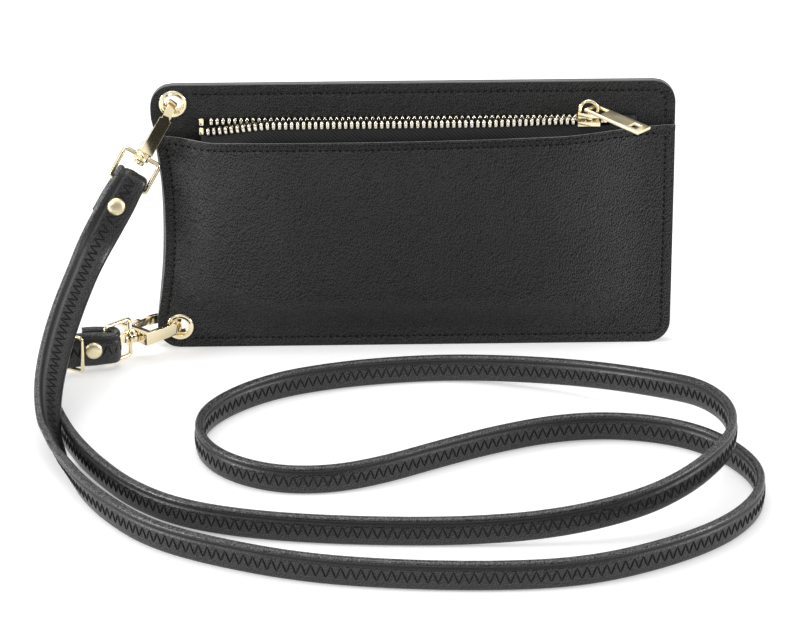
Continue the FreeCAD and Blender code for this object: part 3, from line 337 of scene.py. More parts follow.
def tube(form, path, radius):
    """A round wire along points; the ends of an open one are closed."""
    sides = 14
    ring = path[0] == path[-1]
    places = [Vector(point) for point in (path[:-1] if ring else path)]
    count = len(places)
    normal = None
    rows = []
    uv_rows = []
    for index, place in enumerate(places):
        before = places[index - 1] if ring or index else place
        after = places[(index + 1) % count] if ring or index < count - 1 else place
        tangent = (after - before).normalized()
        normal = tangent.orthogonal() if normal is None else normal
        normal = (normal - tangent * normal.dot(tangent)).normalized()
        other = tangent.cross(normal)
        turns = [2 * pi * step / sides for step in range(sides)]
        rows.append([tuple(place + (normal * cos(t) + other * sin(t)) * radius) for t in turns])
        uv_rows.append([(index * MM, t) for t in turns])
    if ring:
        rows.append(rows[0])
        uv_rows.append(uv_rows[0])
    base = form.sheet(rows, uv_rows, closed=True)
    if not ring:
        form.cap(base, sides)
        form.cap(base + (count - 1) * sides, sides, turned=True)


def turned_piece(name, material, profile, origin, axis, steps):
    form = Form()
    lathe(form, profile, origin, axis, steps)
    return straightened(form.piece(name, material))


def wire_piece(name, material, line, radius):
    form = Form()
    tube(form, line, radius)
    return straightened(form.piece(name, material))


def walled(piece, thick):
    """Gives a sheet its thickness, inwards."""
    wall = piece.modifiers.new("wall", "SOLIDIFY")
    wall.thickness = thick * MM
    wall.offset = -1
    return wall


def smooth_line(points, resolution):
    """Points read from a NURBS spline through these control points, in millimetres."""
    curve = bpy.data.curves.new("line", "CURVE")
    curve.dimensions = "3D"
    spline = curve.splines.new("NURBS")
    spline.points.add(len(points) - 1)
    for knot, point in zip(spline.points, points):
        knot.co = (*(Vector(point) * MM), 1)
    spline.order_u = 3
    spline.use_endpoint_u = True
    spline.resolution_u = resolution
    carrier = linked("line", curve)
    mesh = bpy.data.meshes.new_from_object(carrier)
    line = [tuple(vertex.co / MM) for vertex in mesh.vertices]
    bpy.data.objects.remove(carrier)
    bpy.data.curves.remove(curve)
    bpy.data.meshes.remove(mesh)
    return line


def dress(piece, body, slot, *nodes):
    """The piece moves with a body and stands for solids, which are hidden; its slot is not used."""
    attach(piece, body)
    if nodes:
        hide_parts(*nodes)
    return piece


def bend(piece, first, second, start, end, slot, *nodes):
    """Bakes the piece's place into its mesh and hides the solids it stands for; the two bodies are not used.
    """
    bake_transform(piece)
    if nodes:
        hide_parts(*nodes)
    return piece


# Materials

class Tone:
    """A node's output that takes part in sums."""

    def __init__(self, tree, socket):
        self.tree = tree
        self.socket = socket

    def sum(self, operation, first, second):
        return self.tree.add("ShaderNodeMath", {"operation": operation}, {0: first, 1: second})

    def __add__(self, other):
        return self.sum("ADD", self, other)

    def __radd__(self, other):
        return self.sum("ADD", other, self)

    def __sub__(self, other):
        return self.sum("SUBTRACT", self, other)

    def __rsub__(self, other):
        return self.sum("SUBTRACT", other, self)

    def __mul__(self, other):
        return self.sum("MULTIPLY", self, other)

    def __rmul__(self, other):
        return self.sum("MULTIPLY", other, self)

    def most(self, other):
        return self.sum("MAXIMUM", self, other)


class Tree:
    """Nodes and the links between them."""

    def __init__(self, tree):
        self.tree = tree

    def add(self, kind, settings=None, sockets=None, output=0):
        """Adds a node with settings and inputs and gives one of its outputs."""
        node = self.tree.nodes.new(kind)
        for key, value in (settings or {}).items():
            setattr(node, key, value)
        for key, value in (sockets or {}).items():
            if isinstance(value, Tone):
                self.tree.links.new(value.socket, node.inputs[key])
            else:
                node.inputs[key].default_value = value
        return Tone(self, node.outputs[output])

    def end(self, kind, result):
        exit_node = self.tree.nodes.new(kind)
        self.tree.links.new(result.socket, exit_node.inputs[0])


class Finish(Tree):
    """The nodes of one material or of the world."""

    def __init__(self, name, kind="materials"):
        self.owner = getattr(bpy.data, kind).new(name)
        self.owner.use_nodes = True
        super().__init__(self.owner.node_tree)
        self.tree.nodes.clear()

    def place(self, scale=(1, 1, 1), source="Object"):
        """Object or UV coordinates, stretched."""
        spot = self.add("ShaderNodeTexCoord", output=source)
        return self.add("ShaderNodeMapping", None, {"Vector": spot, "Scale": scale})

    def noise(self, spot, scale, detail, distortion=0.0, output="Fac"):
        return self.add("ShaderNodeTexNoise", None,
                        {"Vector": spot, "Scale": scale, "Detail": detail, "Distortion": distortion}, output)

    def wave(self, spot, direction, scale, distortion, detail=2.0):
        return self.add("ShaderNodeTexWave", {"bands_direction": direction},
                        {"Vector": spot, "Scale": scale, "Distortion": distortion, "Detail": detail})

    def moved(self, spot, step):
        return self.add("ShaderNodeVectorMath", {"operation": "ADD"}, {0: spot, 1: step})

    def part(self, spot, axis):
        return self.add("ShaderNodeSeparateXYZ", None, {"Vector": spot}, axis)

    def seen(self):
        """1 on rays from the camera, straight, mirrored or through glass, and 0 on others."""
        camera, mirrored, through = (self.add("ShaderNodeLightPath", output=f"Is {kind} Ray")
                                     for kind in ("Camera", "Glossy", "Transmission"))
        return camera.most(mirrored).most(through)

    def blend(self, share, first, second):
        return self.add("ShaderNodeMix", {"data_type": "RGBA"}, {0: share, 6: first, 7: second}, output=2)

    def fit(self, value, low, high):
        return self.add("ShaderNodeMapRange", {"interpolation_type": "SMOOTHSTEP"},
                        {0: value, 1: low, 2: high})

    def bumped(self, height, depth, strength):
        return self.add("ShaderNodeBump", None, {"Strength": strength, "Distance": depth, "Height": height})

    def shaded(self, **sockets):
        named = {key.replace("_", " "): value for key, value in sockets.items()}
        return self.done(self.add("ShaderNodeBsdfPrincipled", None, named))

    def done(self, shader, kind="ShaderNodeOutputMaterial"):
        self.end(kind, shader)
        return self.owner


FINISHES = {}


def finish_of(name, maker, *values):
    """Makes a material once and hands it out by name."""
    if name not in FINISHES:
        FINISHES[name] = maker(Finish(name), *values)
    return FINISHES[name]


def rgba(colour, share=1.0):
    """A colour times a share, opaque."""
    return (*(share * part for part in colour), 1.0)


def grain_height(finish, spot, grain):
    """Height of pebbled leather: warped cells with fine wrinkles on them."""
    drift = finish.noise(spot, 0.35 / grain, 2.0, output="Color")
    shift = finish.add("ShaderNodeVectorMath", {"operation": "SCALE"}, {0: drift, "Scale": 1.3 * grain})
    cells = finish.add("ShaderNodeTexVoronoi", {"feature": "DISTANCE_TO_EDGE"},
                       {"Vector": finish.moved(spot, shift), "Scale": 1 / grain})
    wrinkles = finish.noise(spot, 0.8 / grain, 2.0, 0.6)
    return finish.fit(cells, 0.02, 0.36) * 0.55 + wrinkles * 0.9


def grain_and_painted_relief(finish, spot, grain):
    """Height of the grain, and how far it falls towards the lower right, which the finishes use as painted
    light and shade on each pebble.
    """
    beside = finish.moved(spot, (0.16 * grain, 0, -0.22 * grain))
    height = grain_height(finish, spot, grain)
    return height, height - grain_height(finish, beside, grain)


def panel_leather(finish, colour, grain):
    """Fine pebbled leather with painted light and shade on its pebbles, and the pocket front painted lighter
    towards its left and right ends as painted light.
    """
    spot = finish.place((1.5, 1.5, 0.8))
    height, fall = grain_and_painted_relief(finish, spot, grain)
    broad = finish.noise(spot, 45.0, 3.0)
    # Painted light and shade: each pebble near black where it falls away to the lower right, full colour
    # where it faces the upper left, with some random broad tone.
    painted_relief_light = finish.fit(fall + broad * 0.1, -0.13, 0.22)
    along = finish.part(finish.place(), "X")
    inward = finish.part(finish.place(), "Y")
    # Painted light: the pocket front is painted up to 1.9 times lighter towards its left and right ends.
    pocket = finish.fit(0 - inward, 0.001, 0.004)
    painted_side_light = pocket * finish.fit(along * along + broad * 0.002, 0.0012, 0.0064)
    top = finish.blend(painted_side_light, rgba(colour), rgba(colour, 1.9))
    tint = finish.blend(painted_relief_light, rgba(colour, 0.03), top)
    rough = 0.36 + broad * 0.14
    return finish.shaded(Base_Color=tint, Roughness=rough, Specular_IOR_Level=0.17,
                         Normal=finish.bumped(height, 0.0003, 1.0))


def painted_edge(finish, colour):
    """Smooth paint on the cut edges of the leather, a little uneven."""
    uneven = finish.noise(finish.place(), 260.0, 3.0)
    tint = finish.blend(uneven, rgba(colour), rgba(colour, 2.0))
    return finish.shaded(Base_Color=tint, Roughness=0.3 + uneven * 0.15, Specular_IOR_Level=0.5,
                         Normal=finish.bumped(uneven, 0.0002, 0.5))


def strap_leather(finish, colour, grain):
    """Leather with the panels' grain, a little finer, with wrinkles across, painted light and shade on its
    grain, a painted highlight along its rolled edge and painted shade in the groove beside it.
    """
    rise = finish.part(finish.place(source="UV"), "Y")
    edge = finish.fit(rise, 0.0037, 0.0043)
    groove = finish.fit(rise, 0.0019, 0.0025) * (1 - finish.fit(rise, 0.0031, 0.0038))
    across = finish.place((900, 130, 1), "UV")
    wrinkle = finish.noise(across, 1.0, 3.0)
    spot = finish.place()
    height, fall = grain_and_painted_relief(finish, spot, grain)
    broad = finish.noise(spot, 60.0, 2.0)
    # Painted light and shade of the grain and wrinkles: near black where they fall away to the lower right.
    painted_relief_light = finish.fit(fall + wrinkle * 0.2, -0.06, 0.32)
    # Painted shade: the groove is painted down to 0.15 of the colour.
    face = finish.blend(groove, rgba(colour), rgba(colour, 0.15))
    # Painted highlight: the rolled edge beside the groove is painted 2.4 times lighter.
    top = finish.blend(edge, face, rgba(colour, 2.4))
    tint = finish.blend(painted_relief_light, rgba(colour, 0.06), top)
    rough = 0.21 + groove * 0.25 + broad * 0.12 + wrinkle * 0.08
    return finish.shaded(Base_Color=tint, Roughness=rough, Specular_IOR_Level=0.44,
                         Normal=finish.bumped(height * 0.5 + wrinkle * 0.6, 0.00018, 0.7))


def polished_metal(finish, colour, roughness):
    """Polished plating with faint handling marks."""
    spot = finish.place((1, 1, 0.25))
    marks = finish.noise(spot, 2200.0, 3.0)
    haze = finish.noise(spot, 240.0, 2.0)
    tint = finish.blend(haze, rgba(colour, 0.93), rgba(colour))
    rough = roughness * 0.7 + haze * (roughness * 0.5) + marks * 0.03
    return finish.shaded(Base_Color=tint, Metallic=1.0, Roughness=rough,
                         Normal=finish.bumped(marks, 0.000004, 0.5))


def zip_weave(finish, colour):
    """Woven tape with slanting ribs."""
    ribs = finish.wave(finish.place((1, 1, 0), "UV"), "DIAGONAL", 460.0, 2.5, 1.0)
    threads = finish.wave(finish.place((1, 1, 0), "UV"), "X", 1000.0, 0.4)
    weave = ribs * 0.7 + threads * 0.3
    tint = finish.blend(weave, rgba(colour, 0.2), rgba(colour, 2.4))
    return finish.shaded(Base_Color=tint, Roughness=0.6 + weave * 0.2, Specular_IOR_Level=0.2,
                         Normal=finish.bumped(weave, 0.00025, 0.9))


def lining_cloth(finish, colour):
    """Plain woven grey cloth."""
    weft = finish.wave(finish.place(), "X", 420.0, 0.8, 1.0)
    warp = finish.wave(finish.place(), "Z", 420.0, 0.8, 1.0)
    weave = weft * 0.5 + warp * 0.5
    tint = finish.blend(weave, rgba(colour, 0.6), rgba(colour, 1.15))
    return finish.shaded(Base_Color=tint, Roughness=0.85, Sheen_Weight=0.3,
                         Normal=finish.bumped(weave, 0.0001, 0.6))


def sewing_thread(finish, colour):
    """Twisted thread with a slight shine."""
    twist = finish.wave(finish.place(), "DIAGONAL", 900.0, 1.0)
    tint = finish.blend(twist, rgba(colour, 0.5), rgba(colour))
    return finish.shaded(Base_Color=tint, Roughness=0.6 + twist * 0.15, Specular_IOR_Level=0.12,
                         Normal=finish.bumped(twist, 0.00006, 0.6))


def leather_of(scene):
    sizes = scene.pouch_leather
    return finish_of("panel_leather", panel_leather, sizes.colour, sizes.grain)


def edge_of(scene):
    return finish_of("painted_edge", painted_edge, scene.pouch_leather.edge)


# Painted highlight: the pocket front's rims, its hem among them, are painted three times as light as the
# other edges.
def hem_of(scene):
    return finish_of("hem_edge", painted_edge, tuple(3.0 * c for c in scene.pouch_leather.edge))


def strap_of(scene):
    grain = 0.9 * scene.pouch_leather.grain
    return finish_of("strap_leather", strap_leather, scene.pouch_strap.colour, grain)


def gold_of(scene):
    metal = scene.pouch_metal
    return finish_of("polished_gold", polished_metal, metal.colour, metal.roughness)


def satin_of(scene):
    metal = scene.pouch_metal
    return finish_of("satin_gold", polished_metal, metal.colour, 3.6 * metal.roughness)


def thread_of():
    return finish_of("sewing_thread", sewing_thread, (0.003, 0.003, 0.003))


def zigzag_thread():
    return finish_of("zigzag_thread", sewing_thread, (0.019, 0.019, 0.019))


def lining_of():
    return finish_of("lining_cloth", lining_cloth, (0.30, 0.30, 0.31))


def tape_of(scene):
    return finish_of("zip_weave", zip_weave, scene.pouch_zip.tape)


# Rows of stitches and teeth

class Row(Tree):
    """A geometry tree that puts a shape on every point, with lengths as its inputs."""

    def __init__(self, name, lengths):
        super().__init__(bpy.data.node_groups.new(name, "GeometryNodeTree"))
        face = self.tree.interface
        face.new_socket("Geometry", in_out="INPUT", socket_type="NodeSocketGeometry")
        for label in lengths:
            socket = face.new_socket(label, in_out="INPUT", socket_type="NodeSocketFloat")
            socket.subtype = "DISTANCE"
        face.new_socket("Material", in_out="INPUT", socket_type="NodeSocketMaterial")
        face.new_socket("Geometry", in_out="OUTPUT", socket_type="NodeSocketGeometry")
        self.entry = self.tree.nodes.new("NodeGroupInput")

    def given(self, label):
        return Tone(self, self.entry.outputs[label])

    def repeated(self, shape):
        """Puts a shape on every point, turned by the point's two directions, as plain mesh."""
        kind = {"data_type": "FLOAT_VECTOR"}
        ahead = self.add("GeometryNodeInputNamedAttribute", kind, {"Name": "ahead"})
        out = self.add("GeometryNodeInputNamedAttribute", kind, {"Name": "out"})
        turn = self.add("FunctionNodeAxesToRotation", {"primary_axis": "X", "secondary_axis": "Z"},
                        {"Primary Axis": ahead, "Secondary Axis": out})
        row = self.add("GeometryNodeInstanceOnPoints", None,
                       {"Points": self.given("Geometry"), "Instance": shape, "Rotation": turn})
        real = self.add("GeometryNodeRealizeInstances", None, {"Geometry": row})
        even = self.add("GeometryNodeSetShadeSmooth", None, {"Geometry": real})
        done = self.add("GeometryNodeSetMaterial", None,
                        {"Geometry": even, "Material": self.given("Material")})
        self.end("NodeGroupOutput", done)
        return self.tree


def stitch_nodes():
    """A short thread, thick in the middle, at every point."""
    nodes = Row("stitch_row", ("Length", "Thickness"))
    ball = nodes.add("GeometryNodeMeshUVSphere", None, {"Segments": 6, "Rings": 5, "Radius": 0.5})
    size = nodes.add("ShaderNodeCombineXYZ", None,
                     {0: nodes.given("Length"), 1: nodes.given("Thickness"), 2: nodes.given("Thickness")})
    turned = nodes.add("GeometryNodeTransform", None, {"Geometry": ball, "Rotation": (0, pi / 2, 0)})
    thread = nodes.add("GeometryNodeTransform", None, {"Geometry": turned, "Scale": size})
    return nodes.repeated(thread)


def tooth_nodes():
    """A rounded tooth with a narrower head at every point."""
    nodes = Row("tooth_row", ("Thick", "Deep", "High"))
    body_size = nodes.add("ShaderNodeCombineXYZ", None,
                          {0: nodes.given("Thick"), 1: nodes.given("Deep"), 2: nodes.given("High")})
    body = nodes.add("GeometryNodeMeshCube", None, {"Size": body_size})
    head = nodes.add("GeometryNodeTransform", None,
                     {"Geometry": body, "Translation": (0, 0, 0.0009), "Scale": (0.7, 1.15, 0.5)})
    both = nodes.tree.nodes.new("GeometryNodeJoinGeometry")
    for part in (body, head):
        nodes.tree.links.new(part.socket, both.inputs[0])
    round_tooth = nodes.add("GeometryNodeSubdivisionSurface", None,
                            {"Mesh": Tone(nodes, both.outputs[0]), "Level": 2, "Edge Crease": 0.55})
    return nodes.repeated(round_tooth)


def grown(name, tree, places, material, **lengths):
    """Runs a tree over points with two directions each and keeps the result as one mesh."""
    mesh = bpy.data.meshes.new(name)
    mesh.from_pydata([Vector(point) * MM for point, *_ in places], [], [])
    for label, index in (("ahead", 1), ("out", 2)):
        field = mesh.attributes.new(label, "FLOAT_VECTOR", "POINT")
        field.data.foreach_set("vector", [part for place in places for part in place[index]])
    piece = linked(name, mesh)
    modifier = piece.modifiers.new("row", "NODES")
    modifier.node_group = tree
    values = {**lengths, "Material": material}
    for item in tree.interface.items_tree:
        if item.in_out == "INPUT" and item.name in values:
            modifier[item.identifier] = values[item.name]
    return settled(piece)


def tree_of(name, maker):
    return bpy.data.node_groups.get(name) or maker()


def sewn(name, places, material, length, thickness):
    tree = tree_of("stitch_row", stitch_nodes)
    return grown(name, tree, places, material, Length=length, Thickness=thickness)


# The pouch's outline and swell

NOTCH_HALF_CHORD = 36.0
NOTCH_MIDDLE = 47.0
MOUTH_START = 13.0
MOUTH_RUN = 30.0
MOUTH_FOOT = 13.0
FOOT_DROP = 8.0
SWELL_END = 83.0
FLAT_SWELL = 0.25
POCKET_SWELL = 7.4
POCKET_LIP = 6.7
POCKET_RAMP = 16.0
MOUTH_SWELL = 5.5
PHONE_SWELL = 8.0
PHONE_RAMP = 17.0
# The open row of teeth: how far it stands out, and what both ends take off that and off its height
ROW_OUT = 8.4
ROW_LEFT = (4.1, 3.4)
ROW_RIGHT = (3.4, 0.6)


def left_edge(z, notch):
    """Left side of the pouch at a height, with its corners and its thumb notch."""
    if z < CORNER:
        return -HALF_LENGTH + CORNER - sqrt(max(CORNER ** 2 - (CORNER - z) ** 2, 0))
    if z > HEIGHT - CORNER:
        return -HALF_LENGTH + CORNER - sqrt(max(CORNER ** 2 - (z - HEIGHT + CORNER) ** 2, 0))
    from_middle = z - NOTCH_MIDDLE
    if notch == 0 or abs(from_middle) >= NOTCH_HALF_CHORD:
        return -HALF_LENGTH
    radius = (NOTCH_HALF_CHORD ** 2 + notch ** 2) / (2 * notch)
    return -HALF_LENGTH + sqrt(radius ** 2 - from_middle ** 2) - radius + notch


def right_edge(z):
    return -left_edge(z, 0)


def hem_line(x):
    share = x / HALF_LENGTH
    return HEM + HEM_TILT * share + HEM_BOW * share * share


def mouth_share(x):
    """0 at the open left side, 1 well inside the pouch."""
    return ease((x + HALF_LENGTH - MOUTH_START) / MOUTH_RUN)


def foot_of(x):
    """Height where the swell begins."""
    return MOUTH_FOOT - FOOT_DROP * mouth_share(x)


def swelling(z, foot, ramp, bulge, head, lip):
    """How far a panel stands out at a height of its section."""
    if z < foot + ramp:
        return bulge * ease((z - foot) / ramp)
    return bulge + (lip - bulge) * ease((z - head + ramp) / ramp)


def pocket_swell(x):
    return ease((x + SWELL_END) / 17.0) * ease((SWELL_END - x) / 36.0)


def pocket_lip(x):
    return FLAT_SWELL / 2 + POCKET_LIP * pocket_swell(x)


def pocket_out(x, z):
    bulge = FLAT_SWELL + POCKET_SWELL * pocket_swell(x)
    return swelling(z, foot_of(x), POCKET_RAMP, bulge, HEM - 5.0, pocket_lip(x))


def phone_out(x, z):
    share = mouth_share(x)
    full = MOUTH_SWELL + (PHONE_SWELL - MOUTH_SWELL) * share
    bulge = FLAT_SWELL + (full - FLAT_SWELL) * ease((SWELL_END - x) / 54.0)
    return swelling(z, foot_of(x), PHONE_RAMP, bulge, HEIGHT - 22.0 + 17.0 * share, 0)


def groove(distance, depth=0.32):
    """The dip that a row of stitches pulls into the leather."""
    return depth * exp(-(distance / GROOVE_WIDTH) ** 2)


def ripple(x, z, seed):
    """Soft waves of worked leather, in millimetres."""
    wide = noise.noise(Vector((x / 34, z / 22, seed)))
    small = noise.noise(Vector((x / 11, z / 9, seed + 5)))
    return 0.32 * wide + 0.10 * small


def edge_distance(x, z, notch):
    return min(x - left_edge(z, notch), right_edge(z) - x, z)


def front_face(x, z):
    """Outer face of the pocket."""
    edge = edge_distance(x, z, NOTCH)
    below = hem_line(x) - z
    inside = ease((edge - 4) / 12) * ease((below - 4) / 10)
    dip = max(groove(edge - SEWN_IN), groove(below - HEM_SEAM))
    roll = 0.35 * exp(-((below - 0.9) / 0.9) ** 2)
    return -(FACE + pocket_out(x, z) + roll - dip + ripple(x, z, 1.0) * inside)


def back_face(x, z):
    """Outer face of the phone side."""
    edge = min(edge_distance(x, z, BACK_NOTCH), HEIGHT - z)
    inside = ease((edge - 5) / 14)
    return FACE + phone_out(x, z) - groove(edge - SEWN_IN) + ripple(x, z, 7.0) * inside


def middle_face(x, z):
    edge = min(edge_distance(x, z, NOTCH), HEIGHT - z)
    return -(LEATHER / 2 - groove(edge - SEWN_IN, 0.2))


NEAR_EDGE = (0, 0.45, 1.0, 1.7, 2.2, 2.7, 3.2, 3.7, 4.2, 5.0, 6.2, 7.6)


def grid_lines(length):
    """Places along a side: close together by both ends, even in between."""
    first = NEAR_EDGE[-1]
    count = int((length - 2 * first) / GRID_STEP)
    middle = [first + (length - 2 * first) * step / count for step in range(1, count)]
    return list(NEAR_EDGE) + middle + [length - place for place in reversed(NEAR_EDGE)]


def panel_form(face, notch, top_of, top, turned):
    """A grid over the outline whose depth is given by a face."""
    form = Form()
    rows = []
    for z_flat in grid_lines(top):
        low = left_edge(z_flat, notch)
        high = right_edge(z_flat)
        row = []
        for place in grid_lines(2 * HALF_LENGTH):
            if place <= NEAR_EDGE[-1]:
                x = low + place
            elif place >= 2 * HALF_LENGTH - NEAR_EDGE[-1]:
                x = high - (2 * HALF_LENGTH - place)
            else:
                share = (place - NEAR_EDGE[-1]) / (2 * HALF_LENGTH - 2 * NEAR_EDGE[-1])
                x = low + NEAR_EDGE[-1] + share * (high - low - 2 * NEAR_EDGE[-1])
            z = z_flat * top_of(x) / top
            row.append((x, face(x, z), z))
        rows.append(row)
    form.sheet(rows, [[(x * MM, z * MM) for x, y, z in row] for row in rows], turned=turned)
    return form


def pierced(form, heights):
    """Opens the eyelets' holes in a panel's grid and rounds them."""
    for z in heights:
        centre = Vector((EYELET_X, z))
        spots = [Vector((point[0], point[2])) - centre for point in form.points]
        inside = {face for face in form.faces if sum(spots[corner].length for corner in face) / 4 < HOLE}
        form.faces = [face for face in form.faces if face not in inside]
        kept = {corner for face in form.faces for corner in face}
        for corner in kept & {corner for face in inside for corner in face}:
            spot = spots[corner].normalized() * HOLE
            form.points[corner] = (EYELET_X + spot.x, form.points[corner][1], z + spot.y)
    order = {corner: place for place, corner in enumerate(sorted(kept))}
    form.points = [form.points[corner] for corner in order]
    form.uvs = [form.uvs[corner] for corner in order]
    form.faces = [tuple(order[corner] for corner in face) for face in form.faces]
    return form


def thick_panel(name, form, thick, materials, heights, rim):
    """Gives a panel its holes, its thickness inwards and a rolled rim."""
    piece = pierced(form, heights).piece(name, *materials)
    wall = walled(piece, thick)
    wall.use_even_offset = True
    wall.material_offset = 1
    wall.material_offset_rim = 2
    bevel(piece, rim, 50, False).material = 2
    return settled(piece)


def edge_run(points, pitch):
    """Even places along a polyline, each with its direction."""
    places = []
    left_over = pitch / 2
    for start, end in zip(points, points[1:]):
        step = Vector(end) - Vector(start)
        length = step.length
        while left_over < length:
            places.append((Vector(start) + step * (left_over / length), step.normalized()))
            left_over += pitch
        left_over -= length
    return places


def on_face(face, places, out_sign, sink):
    """Seats flat places (x, z) on a face of a panel, a little sunk."""
    seated = []
    reach = 0.3
    for spot, step in places:
        x, z = spot
        slope_x = (face(x + reach, z) - face(x - reach, z)) / (2 * reach)
        slope_z = (face(x, z + reach) - face(x, z - reach)) / (2 * reach)
        normal = Vector((-slope_x, 1, -slope_z)).normalized() * out_sign
        ahead = Vector((step[0], slope_x * step[0] + slope_z * step[1], step[1])).normalized()
        point = Vector((x, face(x, z), z)) - normal * sink
        seated.append((point, ahead, normal))
    return seated


def clear_run(points, pitch):
    """Even places along a polyline that keep clear of the eyelets."""
    return [place for place in edge_run(points, pitch)
            if all((place[0] - Vector((EYELET_X, z))).length > EYELET_CLEAR for z in EYELETS)]


QUARTER = [radians(90 * step / 8) for step in range(9)]


def sewn_edge(notch, high):
    """The stitch line down the left side and round its lower corner, as flat points."""
    inner = CORNER - SEWN_IN
    steps = 30
    heights = [high + (CORNER - high) * step / steps for step in range(steps + 1)]
    left = [(left_edge(z, notch) + SEWN_IN, z) for z in heights]
    return left + [(CORNER - HALF_LENGTH - inner * cos(t), CORNER - inner * sin(t)) for t in QUARTER]


# Stage

CAMERA_TARGET = (-4.84, 0, 10.03)
FLOOR = 4000.0
FLOOR_Z = -0.25
# Name, place in metres, width in metres and power in watts
LAMPS = (("lamp_over", (-0.1, 0.1, 1.35), 1.1, 9.0), ("lamp_left", (-1.4, -0.4, 0.45), 0.5, 18.0),
         ("lamp_right", (1.4, -0.4, 0.45), 0.5, 12.0), ("lamp_front", (-0.5, -1.5, 0.9), 0.4, 2.5))
# Dark boards that only mirrors see, by two corners
CARDS = (("card_front", (-1100, -1750, 20), (1100, -1650, 800)),
         ("card_back", (-1500, 1300, 130), (1500, 1250, 600)))


def board(name, low, high, material):
    """A flat rectangle between two corners."""
    form = Form()
    form.sheet([[low, (high[0], low[1], low[2])], [(low[0], high[1], high[2]), high]],
               [[(0, 0), (1, 0)], [(0, 1), (1, 1)]])
    return form.piece(name, material)


class PouchPiece:
    """Shared by the operators that build pieces."""
    bl_options = {"REGISTER", "UNDO"}


class POUCH_OT_stage(PouchPiece, bpy.types.Operator):
    """Sets the floor, the light and the camera"""
    bl_idname = "pouch.stage"
    bl_label = "Stage"

    def execute(self, context):
        scene = context.scene
        scene.view_settings.view_transform = "Standard"
        self.camera(scene)
        self.floor()
        self.light(scene)
        return {"FINISHED"}

    def camera(self, scene):
        sizes = scene.pouch_stage
        target = Vector(CAMERA_TARGET) * MM
        back = Vector((sin(sizes.azimuth) * cos(sizes.elevation), -cos(sizes.azimuth) * cos(sizes.elevation),
                       sin(sizes.elevation)))
        right = (-back).cross(Vector((0, 0, 1))).normalized()
        up = right.cross(-back)
        across = right * cos(sizes.roll) + up * sin(sizes.roll)
        upright = up * cos(sizes.roll) - right * sin(sizes.roll)
        lens = bpy.data.cameras.new("camera")
        lens.lens = sizes.lens
        lens.sensor_width = 36
        lens.sensor_fit = "HORIZONTAL"
        camera = linked("camera", lens)
        turn = Matrix((across, upright, back)).transposed()
        camera.matrix_world = Matrix.Translation(target + back * sizes.distance) @ turn.to_4x4()
        scene.camera = camera

    def floor(self):
        finish = Finish("pale_floor")
        matt = finish.add("ShaderNodeBsdfDiffuse", None, {"Color": (0.8, 0.8, 0.8, 1)})
        strength = finish.seen() * 0.375
        glow = finish.add("ShaderNodeEmission", None, {"Color": (1, 1, 1, 1), "Strength": strength})
        both = finish.add("ShaderNodeAddShader", None, {0: matt, 1: glow})
        board("studio_floor", (-FLOOR, -FLOOR, FLOOR_Z), (FLOOR, FLOOR, FLOOR_Z), finish.done(both))

    def light(self, scene):
        finish = Finish("studio", "worlds")
        strength = 0.35 + finish.seen() * 0.65
        sky = finish.add("ShaderNodeBackground", None, {"Color": (1, 1, 1, 1), "Strength": strength})
        scene.world = finish.done(sky, "ShaderNodeOutputWorld")
        for name, place, width, power in LAMPS:
            lamp = bpy.data.lights.new(name, "AREA")
            lamp.shape = "DISK"
            lamp.size = width
            lamp.energy = power
            turn = Vector(place).to_track_quat("Z", "Y").to_matrix()
            linked(name, lamp).matrix_world = Matrix.Translation(place) @ turn.to_4x4()
        dark = Finish("dark_card").shaded(Base_Color=(0.02, 0.02, 0.02, 1), Roughness=1.0)
        for name, low, high in CARDS:
            card = board(name, low, high, dark)
            card.visible_camera = False
            card.visible_diffuse = False
            card.visible_shadow = False


# Strap

# Lengths of each fold's front and back, its rivet's place and a stretch along the fold that is passed on but
# not used
FOLDS = {"upper": (20.0, 18.0, 13.0, (14.5, 20.0)), "lower": (12.8, 12.8, 9.4, (4.5, 12.6))}
RIVET_DOME = ((3.0, -0.1), (3.02, 0.15), (2.85, 0.52), (2.4, 0.88), (1.7, 1.08), (0.9, 1.16), (0.02, 1.18))
RIVET_SHANK = ((0.02, -7.5), (1.0, -7.5), (1.0, -0.05), (3.0, -0.05), (3.0, 0.35), (2.8, 0.7), (2.3, 0.82),
               (0.02, 0.82))


def strap_section():
    """Half of the strap's section from its grooved edge to its plain one, as (across, out)."""
    return ((4.38, 0.0), (4.60, 0.30), (4.55, 0.75), (4.25, 1.15), (3.75, 1.36), (3.30, 1.34), (2.95, 1.05),
            (2.70, 0.92), (2.45, 1.02), (2.10, 1.28), (1.50, 1.38), (0.2, 1.34), (-0.8, 1.34), (-2.1, 1.38),
            (-3.2, 1.36), (-3.9, 1.18), (-4.35, 0.80), (-4.58, 0.35), (-4.60, 0.0))


def strap_rows(line, acrosses, widths, start=0.0):
    """Rows of points of the strap's skin along a line, with lengths as UV."""
    half = strap_section()
    ring = list(half) + [(across, -out) for across, out in half[-2:0:-1]]
    rows = []
    uv_rows = []
    run = start
    for index, (centre, across, wide) in enumerate(zip(line, acrosses, widths)):
        tangent = tangent_at(line, index)
        side = tangent.cross(across).normalized()
        if index:
            run += (Vector(line[index]) - Vector(line[index - 1])).length
        rows.append([tuple(Vector(centre) + across * (a * wide) + side * b) for a, b in ring])
        uv_rows.append([(run * MM, a * MM) for a, b in ring])
    return rows, uv_rows


def runs_of(line):
    """Length along a line at each of its points."""
    runs = [0.0]
    for start, end in zip(line, line[1:]):
        runs.append(runs[-1] + (Vector(end) - Vector(start)).length)
    return runs


def tangent_at(line, index):
    before = Vector(line[max(index - 1, 0)])
    after = Vector(line[min(index + 1, len(line) - 1)])
    return (after - before).normalized()


